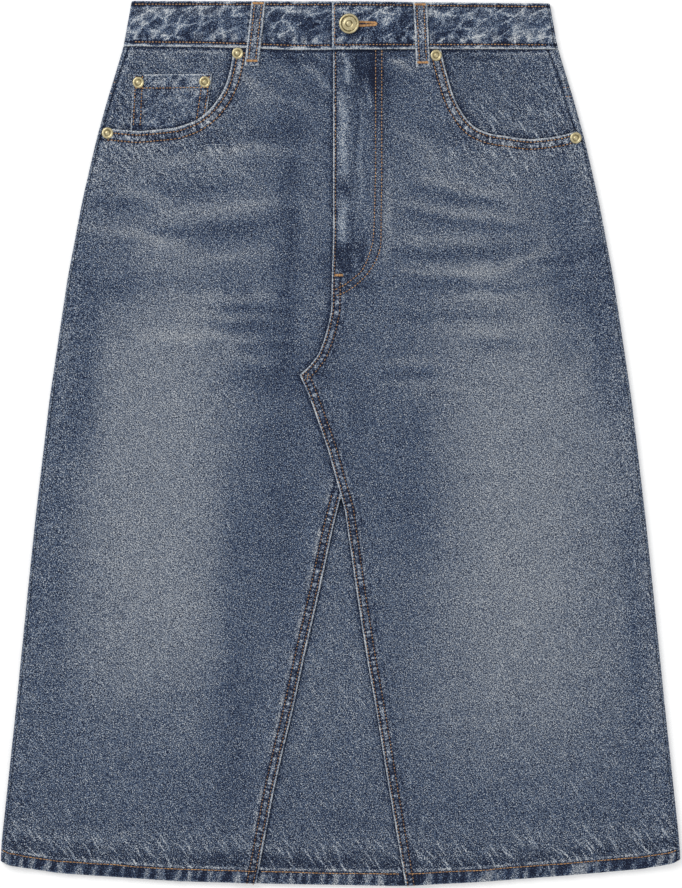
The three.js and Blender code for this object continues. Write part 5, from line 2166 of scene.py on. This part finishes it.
class Skirt:
    """The whole garment."""

    left = FrontPanel("Front_left", -1, lap=Edge((2.4, 7.7), halo=66))
    right = FrontPanel("Front_right", 1, lap=Edge(fold_shadow=26))
    mouth_left = PocketMouth("Pocket_mouth_left", left,
                             Edge((3.4, 9.3), 0.95, 1.6, ridge=10, rope=26, lift=0.5, seed=71), 108, 16)
    mouth_right = PocketMouth("Pocket_mouth_right", right,
                              Edge((2.5, 8.3), 0.95, 1.45, ridge=12, rope=26, lift=0.5, seed=75))
    facing_left = Facing("Pocket_facing_left", left, -76)
    facing_right = Facing("Pocket_facing_right", right, 72)
    coin = CoinPocket()
    gusset = Gusset()
    band = Waistband()
    loops = (
        BeltLoop("Belt_loop_left", "belt_loop_left", (-67.9, 0.4), (-73.8, 54.0)),
        BeltLoop("Belt_loop_right", "belt_loop_right", (66.0, 1.4), (68.5, 55.4), seed=141),
    )
    backs = (
        Back("Back_left", "back_left", -1, False),
        Back("Back_right", "back_right", 1, False),
        Back("Back_yoke_left", "back_yoke_left", -1, True),
        Back("Back_yoke_right", "back_yoke_right", 1, True),
    )
    rivets = (
        ("coin_left", -167.6, 67.8, 6.36),
        ("coin_right", -112.5, 67.2, 4.80),
        ("left_waist", -85.3, 43.6, 6.38),
        ("left_side", -193.0, 109.8, 7.82),
        ("right_waist", 79.3, 45.2, 5.78),
        ("right_side", 194.9, 113.8, 7.0),
    )
    button = (7.05, 19.3)

    def cloth(self, denim: Material) -> dict[str, Piece]:
        """Builds every cloth piece.

        Args:
            denim: the cloth's material.

        Returns:
            The pieces by name.
        """
        parts = (*self.backs, self.gusset, self.facing_left, self.facing_right, self.coin, self.left, self.right,
                 self.mouth_left, self.mouth_right, self.band, *self.loops)
        return {part.name: part.build(denim) for part in parts}

    def metal(self, brass: Material) -> dict[str, Piece]:
        """Builds the button and the rivets.

        Args:
            brass: the metal.

        Returns:
            The parts by name.
        """
        button = Turned("Button", "button", self.button, 5.7, BUTTON, knurl=0.1, knurl_from=4.6, knurl_to=6.3,
                        grooves=(6.2, 2.5))
        parts = [button] + [Turned(f"Rivet_{n}", f"rivet_{n}", (x, d), z, RIVET, grooves=(2.4,), sides=48)
                            for n, x, d, z in self.rivets]
        return {part.name: part.build(brass) for part in parts}

    def band_face(self, lapped: bool) -> HeightAt:
        """Height of the band's left or lapped half."""
        return lambda x, down: self.band.face(x, down, np.array(float(lapped)))

    def tan_rows(self) -> Stitching:
        """Rows in tan thread: waistband, pockets, fly, hem, loops and buttonhole.

        Returns:
            The rows, ready to build.
        """
        tan = Stitching("Stitching_tan", 5)
        for lapped, first, last in ((False, -171.0, self.band.lap_end - 0.8), (True, self.band.lap_end + 2.2, 171.0)):
            x = np.arange(first, last, 1.0)
            face = self.band_face(lapped)
            tan.row(trace(x, Cut.band_top(x) + self.band.upper.rows[0]), 0, face)
            tan.row(trace(x, Cut.waist(x) - self.band.lower.rows[0]), 0, face)
        tan.row(line((334.7, 5), (334.7, 45)), 0, self.band_face(True))
        tan.row(Fly.outer_row, 0, self.right.surface)
        tan.row(Fly.inner_row, 0, self.right.surface)
        for mouth in (self.mouth_left, self.mouth_right):
            path = mouth.panel.mouth()
            end = path.length - (11 if mouth.panel.side < 0 else 14)
            for row in mouth.edge.rows:
                tan.row(path, mouth.panel.side * row, mouth.surface, 7, end)
        coin = self.coin
        x = np.arange(-170.5, -107.5, 1.0)
        tan.row(trace(x, coin.upper(x) + coin.top.rows[0]), 0, coin.surface)
        down = np.arange(62.0, 104.0, 1.0)
        for edge, inward in ((coin.left, 1), (coin.right, -1)):
            for row in coin.side.rows:
                tan.row(trace(edge(down) + inward * row, down), 0, coin.surface)
        low = FrontPanel.hem.rows[0]
        for first, last, face in ((-280.0, -70.0, self.left.surface), (-66.0, 50.0, self.gusset.surface),
                                  (56.0, 279.0, self.right.surface)):
            x = np.arange(first, last, 1.0)
            wave = 0.35 * Wash.ropes(x, 0 * x, 17)
            tan.row(trace(x, Cut.hem(x) - low + wave), 0, face, fill=0.43)
        for loop in self.loops:
            down = np.arange(loop.top[1] + 3, loop.bottom[1] - 3, 1.0)
            for across in (-2.9, 2.9):
                tan.row(trace(loop.middle(down) + across, down), 0, loop.surface)
            for down_at in (loop.top[1] + 1.8, loop.bottom[1] - 4.2):
                tan.bar(trace(loop.middle(down_at) + np.array([-4.8, 4.8]), down_at), loop.surface)
        self.buttonhole(tan)
        tan.bar(line((334.8, 275.5), (343, 275.5)), self.right.surface, 1.1)
        return tan

    def buttonhole(self, tan: Stitching) -> None:
        """Purl stitches round the buttonhole's slot and its eye.

        Args:
            tan: takes the stitches.
        """
        x, down = self.button
        turn = np.linspace(0.25, 2 * np.pi - 0.25, 40)
        eye = np.column_stack([x + 3.2 * np.cos(turn), down + 3.2 * np.sin(turn)])
        tail = np.array([[x + 22.4, down + 0.9], [x + 22.8, down], [x + 22.4, down - 0.9]])
        ring = np.vstack([eye, [[x + 10, down - 1.6]], tail[::-1], [[x + 10, down + 1.6]], eye[:1]])
        tan.bar(Path(ring, soften=1.5), self.band_face(True), 1.0, 0.58)

    def brown_rows(self) -> Stitching:
        """Rows in brown thread: the folded centre edge, the triangle and the yoke.

        Returns:
            The rows, ready to build.
        """
        brown = Stitching("Stitching_brown", 9)
        near, far = self.right.lap.rows
        brown.row(self.right.lapped(), -near, self.right.surface, 1.5, fill=0.26)
        brown.row(self.right.lapped(), -far, self.right.surface, 192.0, fill=0.26)
        for row in self.left.lap.rows:
            brown.row(self.left.lapped(), row, self.left.surface, 16.0, fill=0.26)
        for side, downs in ((1, (71.8, 79.3)), (-1, (67.6, 76.8))):
            for down in downs:
                seam, edge = Cut.side_seam(side, down) * side + 0.4, Cut.half_width(down) - 1.2
                if edge - seam > 1.5:
                    brown.row(trace(np.array([seam, edge]) * side, down), 0, lambda x, d: BAND_TOP + 0 * x)
        return brown


def main() -> None:
    """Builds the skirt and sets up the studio."""
    logging.basicConfig(level=logging.INFO, format="%(name)s %(message)s")
    denim = DenimFinish().build()
    tan = ThreadFinish("tan_thread", (140, 100, 60), (214, 166, 110)).build()
    brown = ThreadFinish("brown_thread", (112, 84, 58), (192, 148, 102)).build()
    skirt = Skirt()
    cloth = skirt.cloth(denim)
    skirt.metal(BrassFinish().build())
    skirt.tan_rows().build(tan)
    skirt.brown_rows().build(brown)
    studio = Studio()
    studio.floor()
    studio.light()
    studio.camera()


if __name__ == "__main__":
    main()
